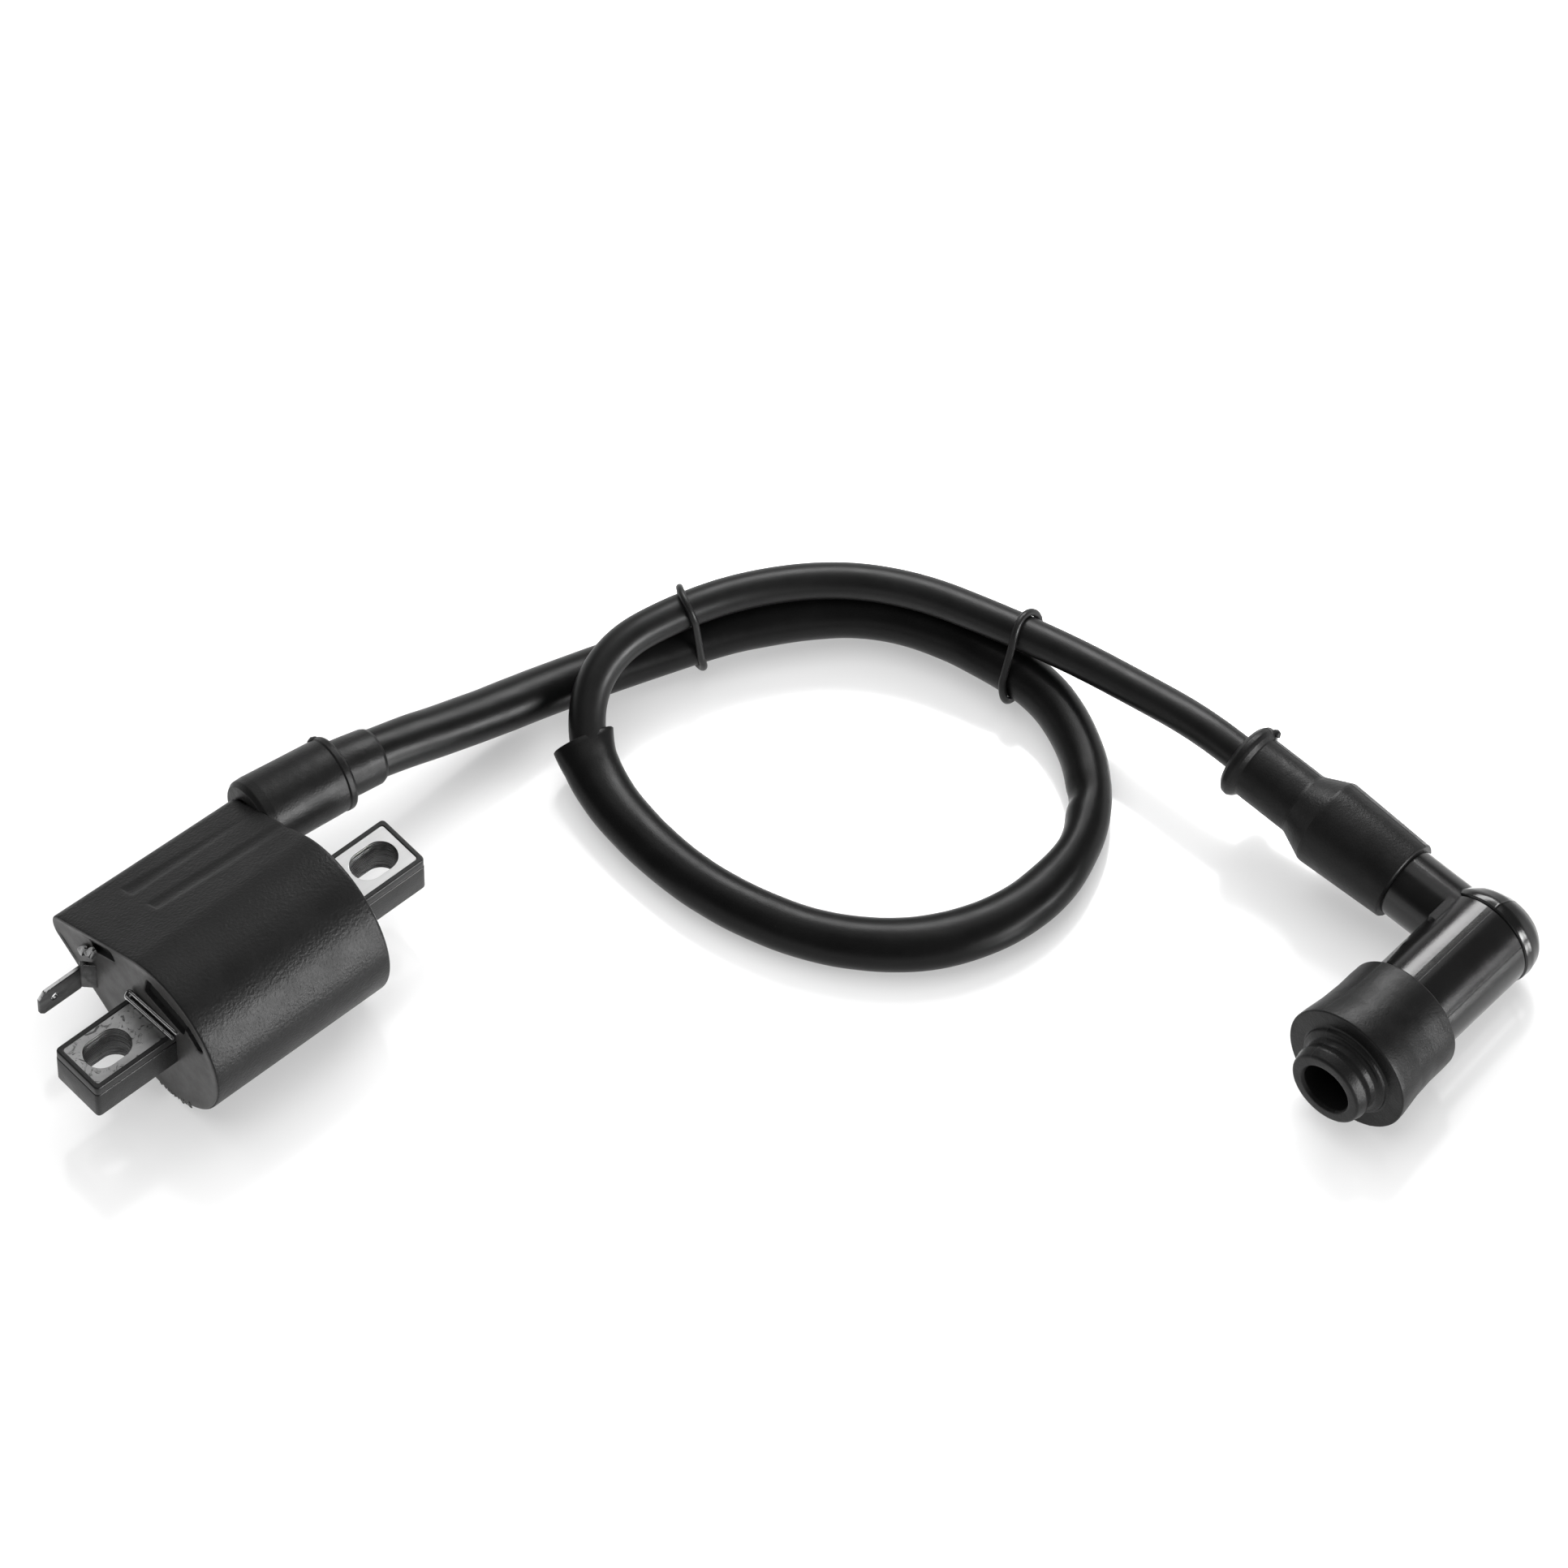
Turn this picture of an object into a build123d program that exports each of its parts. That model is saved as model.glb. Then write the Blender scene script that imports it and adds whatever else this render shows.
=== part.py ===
from build123d import *
import math
import os

os.makedirs("parts", exist_ok=True)

# Ignition coil with its high-tension lead and elbow plug cap. Millimetres, +Z up.
# The origin is under the middle of the coil; +X is the lead's exit, +Y the casing's narrow side.

# Casing: a wide lobe round the windings, narrowing to a tip beside the lead tower
casing_half_length = 20.6
wall = 1.6
far_rounding = 0.8
rim_rounding = 0.3
rim_depth = 0.4
lobe_radius = 17.1
lobe_y = -6.7
lobe_z = 17.1
tip_radius = 3.5
tip_y = 20.3
tip_draft = 0.034
tip_z = 19.7
flute_radius = 6.2
flute_lift = 5.8
flute_start_x = -8.8

# Longer than anything that a cut of this length goes through
cut_length = 50.0

# Core bar: steel sheets through the coil, with a slotted ear at each end
bar_y = -5.7
bar_z = 17.1
ear_tip_x = 39.2
core_width = 10.4
core_height = 8.4
packets = 4
packet_gap = 0.02
cover_wall = 0.9
cover_height = 8.7
cover_root_x = 19.0
tip_rounding = 0.8
edge_rounding = 0.7
slot_x = 31.75
slot_width = 6.8
slot_length = 9.8

# Windings round the core, as radii about the bar's axis
winding_half = 16.5
primary_bobbin_radius = 8.4
primary_wire_radius = 9.9
insulation_radius = 10.4
secondary_bobbin_radius = 11.3
secondary_wire_radius = 13.9
flange_radius = 14.4
flange_thick = 0.8
sections = 6

# Low-tension terminal and ground clip on the open face
terminal_thick = 0.8
blade_y = 13.9
blade_low_z = 10.9
blade_high_z = 17.2
blade_tip_x = -32.2
blade_root_x = -22.6
blade_hole_x = -28.6
clip_outer_x = -21.7
clip_inner_x = -20.6
clip_wire_radius = 0.4
clip_rise = 0.4

# Lead tower on the far face, and the rubber boot and bush round the lead
tower_y = 17.2
tower_z = 19.9
tower_radius = 5.6
tower_start_x = 20.3
tower_end_x = 28.0
socket_radius = 4.0
socket_start_x = 3.0
boot_start = Vector(21.7, 17.23, 19.91)
boot_direction = Vector(19.0, -1.8, -0.9).normalized()
bush_start = Vector(40.9, 15.46, 19.03)
bush_direction = Vector(7.9, -0.75, -1.4).normalized()

# Lead: 7 mm silicone cable, its sleeve, and the wire rings that hold the loop
conductor_radius = 0.9
jacket_bore = 1.0
jacket_radius = 3.5
sleeve_bore = 3.7
sleeve_radius = 4.8
ring_wire_radius = 0.85
ring_reach = 0.1
ring_lean = 1.5

# Plug cap: axes meet at the elbow; the mouth takes the plug, the arm takes the lead
elbow = Vector(178.31, -147.91, 10.5)
mouth_yaw = 188.7
mouth_tilt = 4.1
arm_roll = 6.5
cap_radius = 9.8
cap_bore = 5.4
cap_end = 35.0
arm_radius = 6.95
arm_end = 41.0
arm_bore = 4.0
arm_bore_start = 20.0
boot_bore = 3.58
dome_rim = -0.5
dome_tip = -8.7
dome_radius = 10.2
plug_bore = 5.1
mouth_end = 46.4
lead_end = 24.0
screw_radius = 2.0
contact_start = -2.5
contact_end = 2.6
screw_start = 1.0


def axis_of_mouth():
    yaw = math.radians(mouth_yaw)
    tilt = math.radians(mouth_tilt)
    level = math.cos(tilt)
    return Vector(level * math.cos(yaw), level * math.sin(yaw), math.sin(tilt))


def axis_of_arm(mouth_axis):
    level = Vector(0, 0, 1).cross(mouth_axis).normalized() * -1
    upright = mouth_axis.cross(level).normalized() * -1
    roll = math.radians(arm_roll)
    return level * math.cos(roll) + upright * math.sin(roll)


mouth_axis = axis_of_mouth()
arm_axis = axis_of_arm(mouth_axis)


def arm_point(distance, lift=0.0):
    return elbow + arm_axis * distance + Vector(0, 0, lift)


# The lead's route, from the pin in the tower to the screw in the cap: out of the boot and down
# to the floor, once round the loop inside its sleeve, then over the sleeve and along the top of
# it between the rings, and on to the cap.
lead_route = [
    Vector(8.0, 17.2, 19.9), Vector(22.5, 17.2, 19.9), Vector(38.2, 15.6, 19.5),
    Vector(50.8, 14.7, 17.4), Vector(69.5, 12.5, 11.6), Vector(90.5, 10.3, 6.6),
    Vector(107.9, 4.9, 6.3), Vector(126.7, -2.4, 7.2), Vector(147.3, -15.9, 6.6),
    Vector(155.3, -36.8, 7.2), Vector(158.4, -54.4, 6.3), Vector(149.5, -74.9, 4.95),
    Vector(129.2, -85.3, 4.9), Vector(106.5, -81.5, 4.95), Vector(90.0, -66.1, 4.9),
    Vector(81.3, -45.3, 4.95), Vector(79.5, -25.5, 5.0), Vector(81.5, -9.2, 6.2),
    Vector(88.9, 1.5, 12.1), Vector(99.6, 5.2, 15.8), Vector(112.7, 3.4, 16.1),
    Vector(126.9, -1.0, 15.8), Vector(141.4, -9.9, 15.3), Vector(151.0, -22.0, 15.3),
    Vector(157.1, -36.8, 15.5), Vector(163.0, -52.3, 15.0), Vector(165.9, -65.6, 16.2),
    arm_point(68), arm_point(53), arm_point(38, 0.3), arm_point(lead_end),
]
sleeve_first = 2
sleeve_last = 17
ring_places = [(6, 20, 0.5), (9, 24, 0.43)]


def midpoint(run):
    return (lead_route[run] + lead_route[run + 1]) * 0.5


def corner_radii(route):
    """One radius for each corner, as large as the two runs beside it allow."""
    radii = []
    for before, here, after in zip(route, route[1:], route[2:]):
        turn = math.radians((here - before).get_angle(after - here))
        shorter = min((here - before).length, (after - here).length)
        radii.append(0.45 * shorter / math.tan(turn / 2))
    return radii


lead_radii = corner_radii(lead_route)


def route_path(points, radii):
    with BuildLine() as path:
        FilletPolyline(*points, radius=radii)
    return path.wires()[0]


def tube(path, outer, inner=0.0):
    """The face that is swept along a path, square to its start."""
    with BuildSketch(Plane(origin=path @ 0, z_dir=path % 0)) as ring:
        Circle(outer)
        if inner > 0:
            Circle(inner, mode=Mode.SUBTRACT)
    return ring.sketch


def turned(points, start, direction, rounds=None):
    """An outline of (distance along, radius) points beside a line, to be revolved round it."""
    side = direction.cross(Vector(0, 0, 1)).normalized()
    with BuildSketch(Plane(origin=start, x_dir=direction, z_dir=side)) as outline:
        with BuildLine():
            Polyline(*points, close=True)
        make_face()
        for index, radius in (rounds or {}).items():
            corner = Vector(*points[index])
            fillet(outline.vertices().sort_by_distance(corner)[0], radius)
    return outline.sketch


def disc(start, direction, radius, along=0.0):
    with BuildSketch(Plane(origin=start + direction * along, z_dir=direction)) as face:
        Circle(radius)
    return face.sketch


def casing_section(x, inset):
    """The casing's section across X: two circles and the lines that touch both.
    The tip draws in towards the far end."""
    reach = tip_y - tip_draft * (x + casing_half_length)
    with BuildSketch(Plane.YZ.offset(x)) as section:
        with Locations((lobe_y, lobe_z)):
            Circle(lobe_radius - inset)
        with Locations((reach, tip_z)):
            Circle(tip_radius - inset)
        make_hull()
    return section.sketch


def casing_run(start, end, inset):
    loft([casing_section(start, inset), casing_section(end, inset)], ruled=True)


def bar_section(x, width, height):
    with BuildSketch(Plane.YZ.offset(x)) as section:
        with Locations((bar_y, bar_z)):
            Rectangle(width, height)
    return section.sketch


def bar_disc(x, radius):
    return disc(Vector(0, bar_y, bar_z), Vector(1, 0, 0), radius, x)


def slot_face(z):
    with BuildSketch(Plane.XY.offset(z)) as face:
        with Locations((-slot_x, bar_y), (slot_x, bar_y)):
            SlotOverall(slot_length, slot_width)
    return face.sketch


def strip(points, low, high):
    """A thin sheet standing between two heights, its plan given by points."""
    with BuildSketch(Plane.XY.offset(low)) as plan:
        with BuildLine():
            Polyline(*points, close=True)
        make_face()
    return plan.sketch, high - low


x_axis = Vector(1, 0, 0)
tower_line = Vector(0, tower_y, tower_z)
mouth_line = Axis(elbow, mouth_axis)
arm_line = Axis(elbow, arm_axis)

sleeve_points = [midpoint(1)] + lead_route[sleeve_first:sleeve_last + 1] + [midpoint(sleeve_last)]
sleeve_radii = lead_radii[sleeve_first - 1:sleeve_last]
sleeve_path = route_path(sleeve_points, sleeve_radii)
lead_path = route_path(lead_route, lead_radii)
pin_length = 4.5
wire_points = [lead_route[0] + x_axis * pin_length] + lead_route[1:-1] + [arm_point(31, 0.15)]
wire_path = route_path(wire_points, lead_radii)

with BuildPart() as lead_core:
    sweep(tube(lead_path, jacket_radius), path=lead_path)

with BuildPart() as sleeve_core:
    sweep(tube(sleeve_path, sleeve_radius), path=sleeve_path)

# ---- Core ----------------------------------------------------------------------------------

packet_height = core_height / packets
bar_bottom = bar_z - core_height / 2
with BuildPart() as core_laminations:
    for number in range(packets):
        with BuildSketch(Plane.XY.offset(bar_bottom + number * packet_height)):
            with Locations((0, bar_y)):
                Rectangle(2 * (ear_tip_x - cover_wall), core_width)
        extrude(amount=packet_height - packet_gap)
    extrude(slot_face(0), amount=cut_length, mode=Mode.SUBTRACT)
core_laminations.part.label = "core_laminations"


def ear_cover(side):
    """The black sleeve round one ear: open above and below, rounded outside."""
    with BuildPart() as cover:
        extrude(bar_section(side * cover_root_x, core_width + 2 * cover_wall, cover_height),
                amount=side * (ear_tip_x - cover_root_x))
        fillet(cover.faces().sort_by(Axis.X)[-1 if side > 0 else 0].edges(), tip_rounding)
        fillet(cover.edges().filter_by(Axis.X), edge_rounding)
        with Locations((side * (ear_tip_x - cover_wall) / 2, bar_y, bar_z)):
            Box(ear_tip_x - cover_wall, core_width, 2 * cover_height, mode=Mode.SUBTRACT)
        extrude(slot_face(0), amount=cut_length, mode=Mode.SUBTRACT)
    return cover.part


ear_cover_near = ear_cover(-1)
ear_cover_near.label = "ear_cover_near"
ear_cover_far = ear_cover(1)
ear_cover_far.label = "ear_cover_far"

# ---- Windings ------------------------------------------------------------------------------

with BuildPart() as primary_bobbin:
    extrude(bar_disc(-winding_half, primary_bobbin_radius), amount=2 * winding_half)
    for x in (-winding_half, winding_half - flange_thick):
        extrude(bar_disc(x, primary_wire_radius), amount=flange_thick)
    extrude(bar_section(-winding_half, core_width + 0.1, core_height + 0.1),
            amount=2 * winding_half, mode=Mode.SUBTRACT)
primary_bobbin.part.label = "primary_bobbin"

layer_start = flange_thick - winding_half
layer_length = 2 * (winding_half - flange_thick)
with BuildPart() as primary_winding:
    extrude(bar_disc(layer_start, primary_wire_radius), amount=layer_length)
    extrude(bar_disc(layer_start, primary_bobbin_radius), amount=layer_length, mode=Mode.SUBTRACT)
primary_winding.part.label = "primary_winding"

with BuildPart() as layer_insulation:
    extrude(bar_disc(-winding_half, insulation_radius), amount=2 * winding_half)
    extrude(bar_disc(-winding_half, primary_wire_radius), amount=2 * winding_half,
            mode=Mode.SUBTRACT)
layer_insulation.part.label = "layer_insulation"

section_pitch = (2 * winding_half - flange_thick) / sections
with BuildPart() as secondary_bobbin:
    extrude(bar_disc(-winding_half, secondary_bobbin_radius), amount=2 * winding_half)
    for number in range(sections + 1):
        extrude(bar_disc(-winding_half + number * section_pitch, flange_radius),
                amount=flange_thick)
    extrude(bar_disc(-winding_half, insulation_radius), amount=2 * winding_half,
            mode=Mode.SUBTRACT)
secondary_bobbin.part.label = "secondary_bobbin"

with BuildPart() as secondary_winding:
    for number in range(sections):
        start = -winding_half + number * section_pitch + flange_thick
        extrude(bar_disc(start, secondary_wire_radius), amount=section_pitch - flange_thick)
        extrude(bar_disc(start, secondary_bobbin_radius), amount=section_pitch - flange_thick,
                mode=Mode.SUBTRACT)
secondary_winding.part.label = "secondary_winding"

# ---- High-tension pin and its link to the secondary winding ------------------------------------

pin_radius = 2.6
spike_radius = 0.8
pin_start = 4.0
with BuildPart() as ht_terminal:
    extrude(disc(tower_line, x_axis, pin_radius, pin_start), amount=lead_route[0].X - pin_start)
    extrude(disc(tower_line, x_axis, spike_radius, lead_route[0].X), amount=pin_length - 0.3)
ht_terminal.part.label = "ht_terminal"

link_x = 6.0
link_radius = 0.4
link_length = 6.2
link_direction = Vector(0, bar_y - tower_y, bar_z - tower_z).normalized()
with BuildPart() as ht_link:
    extrude(disc(Vector(link_x, tower_y, tower_z), link_direction, link_radius, pin_radius),
            amount=link_length)
ht_link.part.label = "ht_link"

# ---- Casing ---------------------------------------------------------------------------------

flute_lines = [
    (Vector(flute_start_x, 16.7, 25.1), Vector(casing_half_length, 14.8, 26.1)),
    (Vector(flute_start_x, 9.2, 28.7), Vector(casing_half_length, 7.0, 29.6)),
]
top_normal = Vector(0, 0.416, 0.909)
with BuildPart() as casing:
    casing_run(-casing_half_length, casing_half_length, 0)
    fillet(casing.faces().sort_by(Axis.X)[-1].edges(), far_rounding)
    fillet(casing.faces().sort_by(Axis.X)[0].edges(), rim_rounding)
    loft([casing_section(-casing_half_length, wall), casing_section(casing_half_length - wall, wall)],
         ruled=True, mode=Mode.SUBTRACT)
    extrude(disc(tower_line, x_axis, socket_radius, socket_start_x),
            amount=casing_half_length - socket_start_x)
    extrude(disc(tower_line, x_axis, tower_radius, tower_start_x),
            amount=tower_end_x - tower_start_x)
    add(lead_core.part, mode=Mode.SUBTRACT)
    extrude(disc(tower_line, x_axis, pin_radius, 0), amount=lead_route[0].X, mode=Mode.SUBTRACT)
    extrude(disc(Vector(link_x, tower_y, tower_z), link_direction, link_radius, 0),
            amount=2 * socket_radius, mode=Mode.SUBTRACT)
    extrude(bar_section(0, core_width + 2 * cover_wall, cover_height), amount=cut_length,
            mode=Mode.SUBTRACT)
    for start, end in flute_lines:
        line = (end - start).normalized()
        extrude(disc(start + top_normal * flute_lift, line, flute_radius),
                amount=(end - start).length + 1, mode=Mode.SUBTRACT)
casing.part.label = "casing"

# ---- Terminal and clip ----------------------------------------------------------------------

resin_face_x = rim_depth - casing_half_length
half = terminal_thick / 2
foot_plan = [
    (-17.6, 11.2), (-20.6, 11.2), (blade_root_x - 0.2, blade_y - half),
    (blade_root_x + 0.5, blade_y + half), (-20.2, 12.0), (-17.6, 12.0),
]
foot_low_z = 11.5
foot_high_z = 18.6
with BuildPart() as spade_terminal:
    face, height = strip(foot_plan, foot_low_z, foot_high_z)
    extrude(face, amount=height)
    with BuildSketch(Plane.XZ.offset(-blade_y - half)):
        with BuildLine():
            Polyline(
                (blade_root_x + 0.6, blade_low_z + 0.6), (blade_root_x + 0.6, blade_high_z),
                (blade_tip_x + 1.4, blade_high_z), (blade_tip_x, blade_high_z - 1.6),
                (blade_tip_x, blade_low_z + 0.9), (blade_tip_x + 0.9, blade_low_z),
                (blade_root_x, blade_low_z), close=True,
            )
        make_face()
        with Locations((blade_hole_x, (blade_low_z + blade_high_z) / 2)):
            Circle(0.85, mode=Mode.SUBTRACT)
    extrude(amount=terminal_thick)
spade_terminal.part.label = "spade_terminal"

clip_low_z = bar_z + cover_height / 2 + clip_wire_radius
clip_points = [
    Vector(clip_outer_x, -11.7, clip_low_z), Vector(clip_outer_x, 0.5, clip_low_z),
    Vector(clip_inner_x, 0.8, clip_low_z + clip_rise),
    Vector(clip_inner_x, -11.4, clip_low_z + clip_rise),
]
clip_path = route_path(clip_points, [0.5, 0.5])
with BuildPart() as ground_clip:
    sweep(tube(clip_path, clip_wire_radius), path=clip_path)
ground_clip.part.label = "ground_clip"

solder_radius = 1.6
with BuildPart() as solder_joint:
    with Locations((resin_face_x, 13.3, foot_high_z + 1.9)):
        Sphere(solder_radius)
    split(bisect_by=Plane.YZ.offset(resin_face_x), keep=Keep.BOTTOM)
solder_joint.part.label = "solder_joint"

# ---- Resin that fills the casing round everything -----------------------------------------------

pocket_depth = 0.9
with BuildPart() as potting_resin:
    casing_run(resin_face_x, casing_half_length - wall, wall)
    extrude(bar_disc(-winding_half, flange_radius), amount=2 * winding_half, mode=Mode.SUBTRACT)
    extrude(bar_section(-casing_half_length, core_width + 2 * cover_wall, cover_height),
            amount=2 * casing_half_length, mode=Mode.SUBTRACT)
    extrude(disc(tower_line, x_axis, socket_radius, socket_start_x), amount=cut_length,
            mode=Mode.SUBTRACT)
    extrude(disc(Vector(link_x, tower_y, tower_z), link_direction, link_radius, pin_radius),
            amount=link_length, mode=Mode.SUBTRACT)
    face, height = strip(foot_plan, foot_low_z, foot_high_z)
    extrude(face, amount=height, mode=Mode.SUBTRACT)
    with Locations((resin_face_x, 8.7, 26.2)):
        Box(2 * pocket_depth, 6.0, 2.4, rotation=(-24.6, 0, 0), mode=Mode.SUBTRACT)
    with Locations((resin_face_x, -9.0, 27.4)):
        Box(2 * pocket_depth, 11.0, 4.2, rotation=(12, 0, 0), mode=Mode.SUBTRACT)
    with Locations((resin_face_x, -18.6, 23.6)):
        Box(2 * pocket_depth, 5.0, 1.8, rotation=(52, 0, 0), mode=Mode.SUBTRACT)
potting_resin.part.label = "potting_resin"

# ---- Lead ---------------------------------------------------------------------------------------

with BuildPart() as lead_conductor:
    sweep(tube(wire_path, conductor_radius), path=wire_path)
lead_conductor.part.label = "lead_conductor"

with BuildPart() as lead_jacket:
    sweep(tube(lead_path, jacket_radius, jacket_bore), path=lead_path)
lead_jacket.part.label = "lead_jacket"

with BuildPart() as lead_sleeve:
    sweep(tube(sleeve_path, sleeve_radius, sleeve_bore), path=sleeve_path)
lead_sleeve.part.label = "lead_sleeve"


def ring_round(sleeve_run, lead_run, share):
    """A rubber ring stretched round the sleeve and the lead on it, leaning back along them."""
    centre = lead_route[sleeve_run] * (1 - share) + lead_route[sleeve_run + 1] * share
    along = (lead_route[sleeve_run + 1] - lead_route[sleeve_run]).normalized()
    lead_line = (lead_route[lead_run + 1] - lead_route[lead_run]).normalized()
    gap = (centre - lead_route[lead_run]).dot(along) / lead_line.dot(along)
    partner = lead_route[lead_run] + lead_line * (gap - ring_lean)
    towards = (partner - centre).normalized()
    facing = (along - towards * along.dot(towards)).normalized()
    frame = Plane(origin=centre, x_dir=towards, z_dir=facing)
    apart = (partner - centre).length
    small = sleeve_radius + ring_wire_radius + ring_reach
    large = jacket_radius + ring_wire_radius + ring_reach
    lean = math.degrees(math.asin((small - large) / apart))
    touch = 90 - lean
    with BuildLine(frame) as loop:
        CenterArc((0, 0), small, touch, 360 - 2 * touch)
        CenterArc((apart, 0), large, -touch, 2 * touch)
        for sign in (1, -1):
            across = math.radians(sign * touch)
            first = (small * math.cos(across), small * math.sin(across))
            second = (apart + large * math.cos(across), large * math.sin(across))
            Line(first, second)
    path = loop.wires()[0]
    with BuildPart() as ring:
        sweep(disc(path @ 0, path % 0, ring_wire_radius), path=path)
    return ring.part


lead_ring_near = ring_round(*ring_places[0])
lead_ring_near.label = "lead_ring_near"
lead_ring_far = ring_round(*ring_places[1])
lead_ring_far.label = "lead_ring_far"

boot_length = 19.1
boot_cavity = 7.4
boot_profile = [
    (0, 6.6), (0, 7.3), (0.9, 8.05), (9.0, 7.6), (16.0, 7.35), (18.2, 7.45), (boot_length, 7.0),
    (boot_length, 4.85), (boot_cavity, 4.85), (boot_cavity, 6.6),
]
with BuildPart() as tower_boot:
    revolve(turned(boot_profile, boot_start, boot_direction, {2: 0.6, 5: 0.5}),
            axis=Axis(boot_start, boot_direction))
    add(sleeve_core.part, mode=Mode.SUBTRACT)
tower_boot.part.label = "tower_boot"

bush_profile = [(0, 4.9), (0, 5.75), (7.6, 5.5), (7.9, 5.2), (7.9, 4.9)]
with BuildPart() as exit_bush:
    revolve(turned(bush_profile, bush_start, bush_direction), axis=Axis(bush_start, bush_direction))
    add(sleeve_core.part, mode=Mode.SUBTRACT)
    add(tower_boot.part, mode=Mode.SUBTRACT)
exit_bush.part.label = "exit_bush"

# ---- Plug cap: body -----------------------------------------------------------------------------

spigot_radius = 8.2
spigot_start = -5.5
pad_top = 8.4
pad_side = 2 * arm_radius - 0.1
body_profile = [
    (spigot_start, 0), (spigot_start, spigot_radius), (dome_rim, spigot_radius),
    (dome_rim, cap_radius), (cap_end - 0.6, cap_radius), (cap_end, cap_radius - 0.6), (cap_end, 0),
]
arm_profile = [(0, 0), (0, arm_radius), (arm_end - 1, arm_radius), (arm_end, 5.95), (arm_end, 0)]
with BuildPart() as cap_body:
    revolve(turned(body_profile, elbow, mouth_axis), axis=mouth_line)
    revolve(turned(arm_profile, elbow, arm_axis), axis=arm_line)
    with BuildSketch(Plane(origin=elbow, x_dir=mouth_axis, z_dir=arm_axis)):
        with Locations((pad_side / 4 + dome_rim / 2, 0)):
            Rectangle(pad_side / 2 - dome_rim, pad_side)
    extrude(amount=pad_top)
    extrude(disc(elbow, mouth_axis, cap_bore, contact_start), amount=cap_end + 3,
            mode=Mode.SUBTRACT)
    extrude(disc(elbow, arm_axis, screw_radius), amount=arm_end, mode=Mode.SUBTRACT)
    extrude(disc(elbow, arm_axis, arm_bore, arm_bore_start), amount=arm_end, mode=Mode.SUBTRACT)
cap_body.part.label = "cap_body"

dome_profile = [
    (dome_rim, spigot_radius), (dome_rim, dome_radius - 0.5), (dome_rim - 0.5, dome_radius),
    (-2.4, dome_radius), (-5.0, 9.15), (-7.0, 7.2), (-8.3, 4.3), (dome_tip, 0), (spigot_start, 0),
    (spigot_start, spigot_radius),
]
with BuildPart() as cap_end_dome:
    revolve(turned(dome_profile, elbow, mouth_axis, {3: 3.0, 4: 4.0, 5: 5.0, 6: 5.0}),
            axis=mouth_line)
    extrude(disc(elbow, arm_axis, arm_radius), amount=cut_length, mode=Mode.SUBTRACT)
cap_end_dome.part.label = "cap_end_dome"

# ---- Plug cap: rubber boots ------------------------------------------------------------------------

plug_boot_start = 22.9
plug_boot_profile = [
    (plug_boot_start, cap_radius), (plug_boot_start, 12.1), (25.2, 12.2), (29.0, 12.4),
    (33.5, 12.7), (38.4, 13.2), (40.0, 13.25), (40.0, 10.4), (38.8, 9.9), (38.8, 8.9), (40.2, 8.0),
    (42.6, 7.8), (44.2, 8.2), (mouth_end, 7.6), (mouth_end, plug_bore), (cap_end, plug_bore),
    (cap_end, 9.2), (cap_end - 0.6, cap_radius),
]
with BuildPart() as plug_boot:
    revolve(turned(plug_boot_profile, elbow, mouth_axis, {1: 0.5, 3: 5.0, 4: 6.0, 6: 0.3, 12: 0.8}),
            axis=mouth_line)
plug_boot.part.label = "plug_boot"

lead_boot_profile = [
    (18.4, arm_radius), (18.4, 8.1), (36.9, 8.8), (42.5, 6.3), (54.6, 6.3), (55.0, 7.3),
    (56.3, 7.5), (57.5, 6.6), (57.5, boot_bore), (51.5, boot_bore),
    (51.5, 4.2), (43.0, 4.2), (43.0, 4.6), (arm_end, 4.6),
    (arm_end, 5.95), (arm_end - 1, arm_radius),
]
with BuildPart() as lead_boot:
    revolve(turned(lead_boot_profile, elbow, arm_axis, {1: 0.5, 2: 0.6, 6: 0.8}), axis=arm_line)
lead_boot.part.label = "lead_boot"

# ---- Plug cap: what is inside ------------------------------------------------------------------------

with BuildPart() as elbow_contact:
    extrude(disc(elbow, mouth_axis, cap_bore, contact_start), amount=contact_end - contact_start)
    extrude(disc(elbow, arm_axis, screw_radius, screw_start), amount=cut_length,
            mode=Mode.SUBTRACT)
elbow_contact.part.label = "elbow_contact"

screw_profile = [
    (screw_start, 0), (screw_start, screw_radius), (arm_bore_start, screw_radius),
    (arm_bore_start, 3.6), (23.4, 3.6), (23.4, 1.6),
    (lead_end - 0.1, 0.65), (lead_end + 5, 0.65), (lead_end + 6, 0),
]
with BuildPart() as cable_screw:
    revolve(turned(screw_profile, elbow, arm_axis), axis=arm_line)
cable_screw.part.label = "cable_screw"

spring_start = contact_end + 0.35
spring_length = 4.3
spring_wire = 0.35
spring_radius = 2.3
with BuildPart() as contact_spring:
    with BuildLine():
        coil_line = Helix(pitch=1.3, height=spring_length, radius=spring_radius,
                          center=elbow + mouth_axis * spring_start, direction=mouth_axis)
    sweep(disc(coil_line @ 0, coil_line % 0, spring_wire), path=coil_line)
contact_spring.part.label = "contact_spring"

resistor_start = spring_start + spring_length + 0.75
resistor_length = 15.5
resistor_radius = 2.9
resistor_cap_radius = 3.2
resistor_cap_depth = 2.0
resistor_cap_end = 0.4
with BuildPart() as resistor:
    extrude(disc(elbow, mouth_axis, resistor_radius, resistor_start), amount=resistor_length)
resistor.part.label = "resistor"

with BuildPart() as resistor_caps:
    for start in (resistor_start - resistor_cap_end,
                  resistor_start + resistor_length + resistor_cap_end - resistor_cap_depth):
        extrude(disc(elbow, mouth_axis, resistor_cap_radius, start), amount=resistor_cap_depth)
    extrude(disc(elbow, mouth_axis, resistor_radius, resistor_start), amount=resistor_length,
            mode=Mode.SUBTRACT)
resistor_caps.part.label = "resistor_caps"

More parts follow.
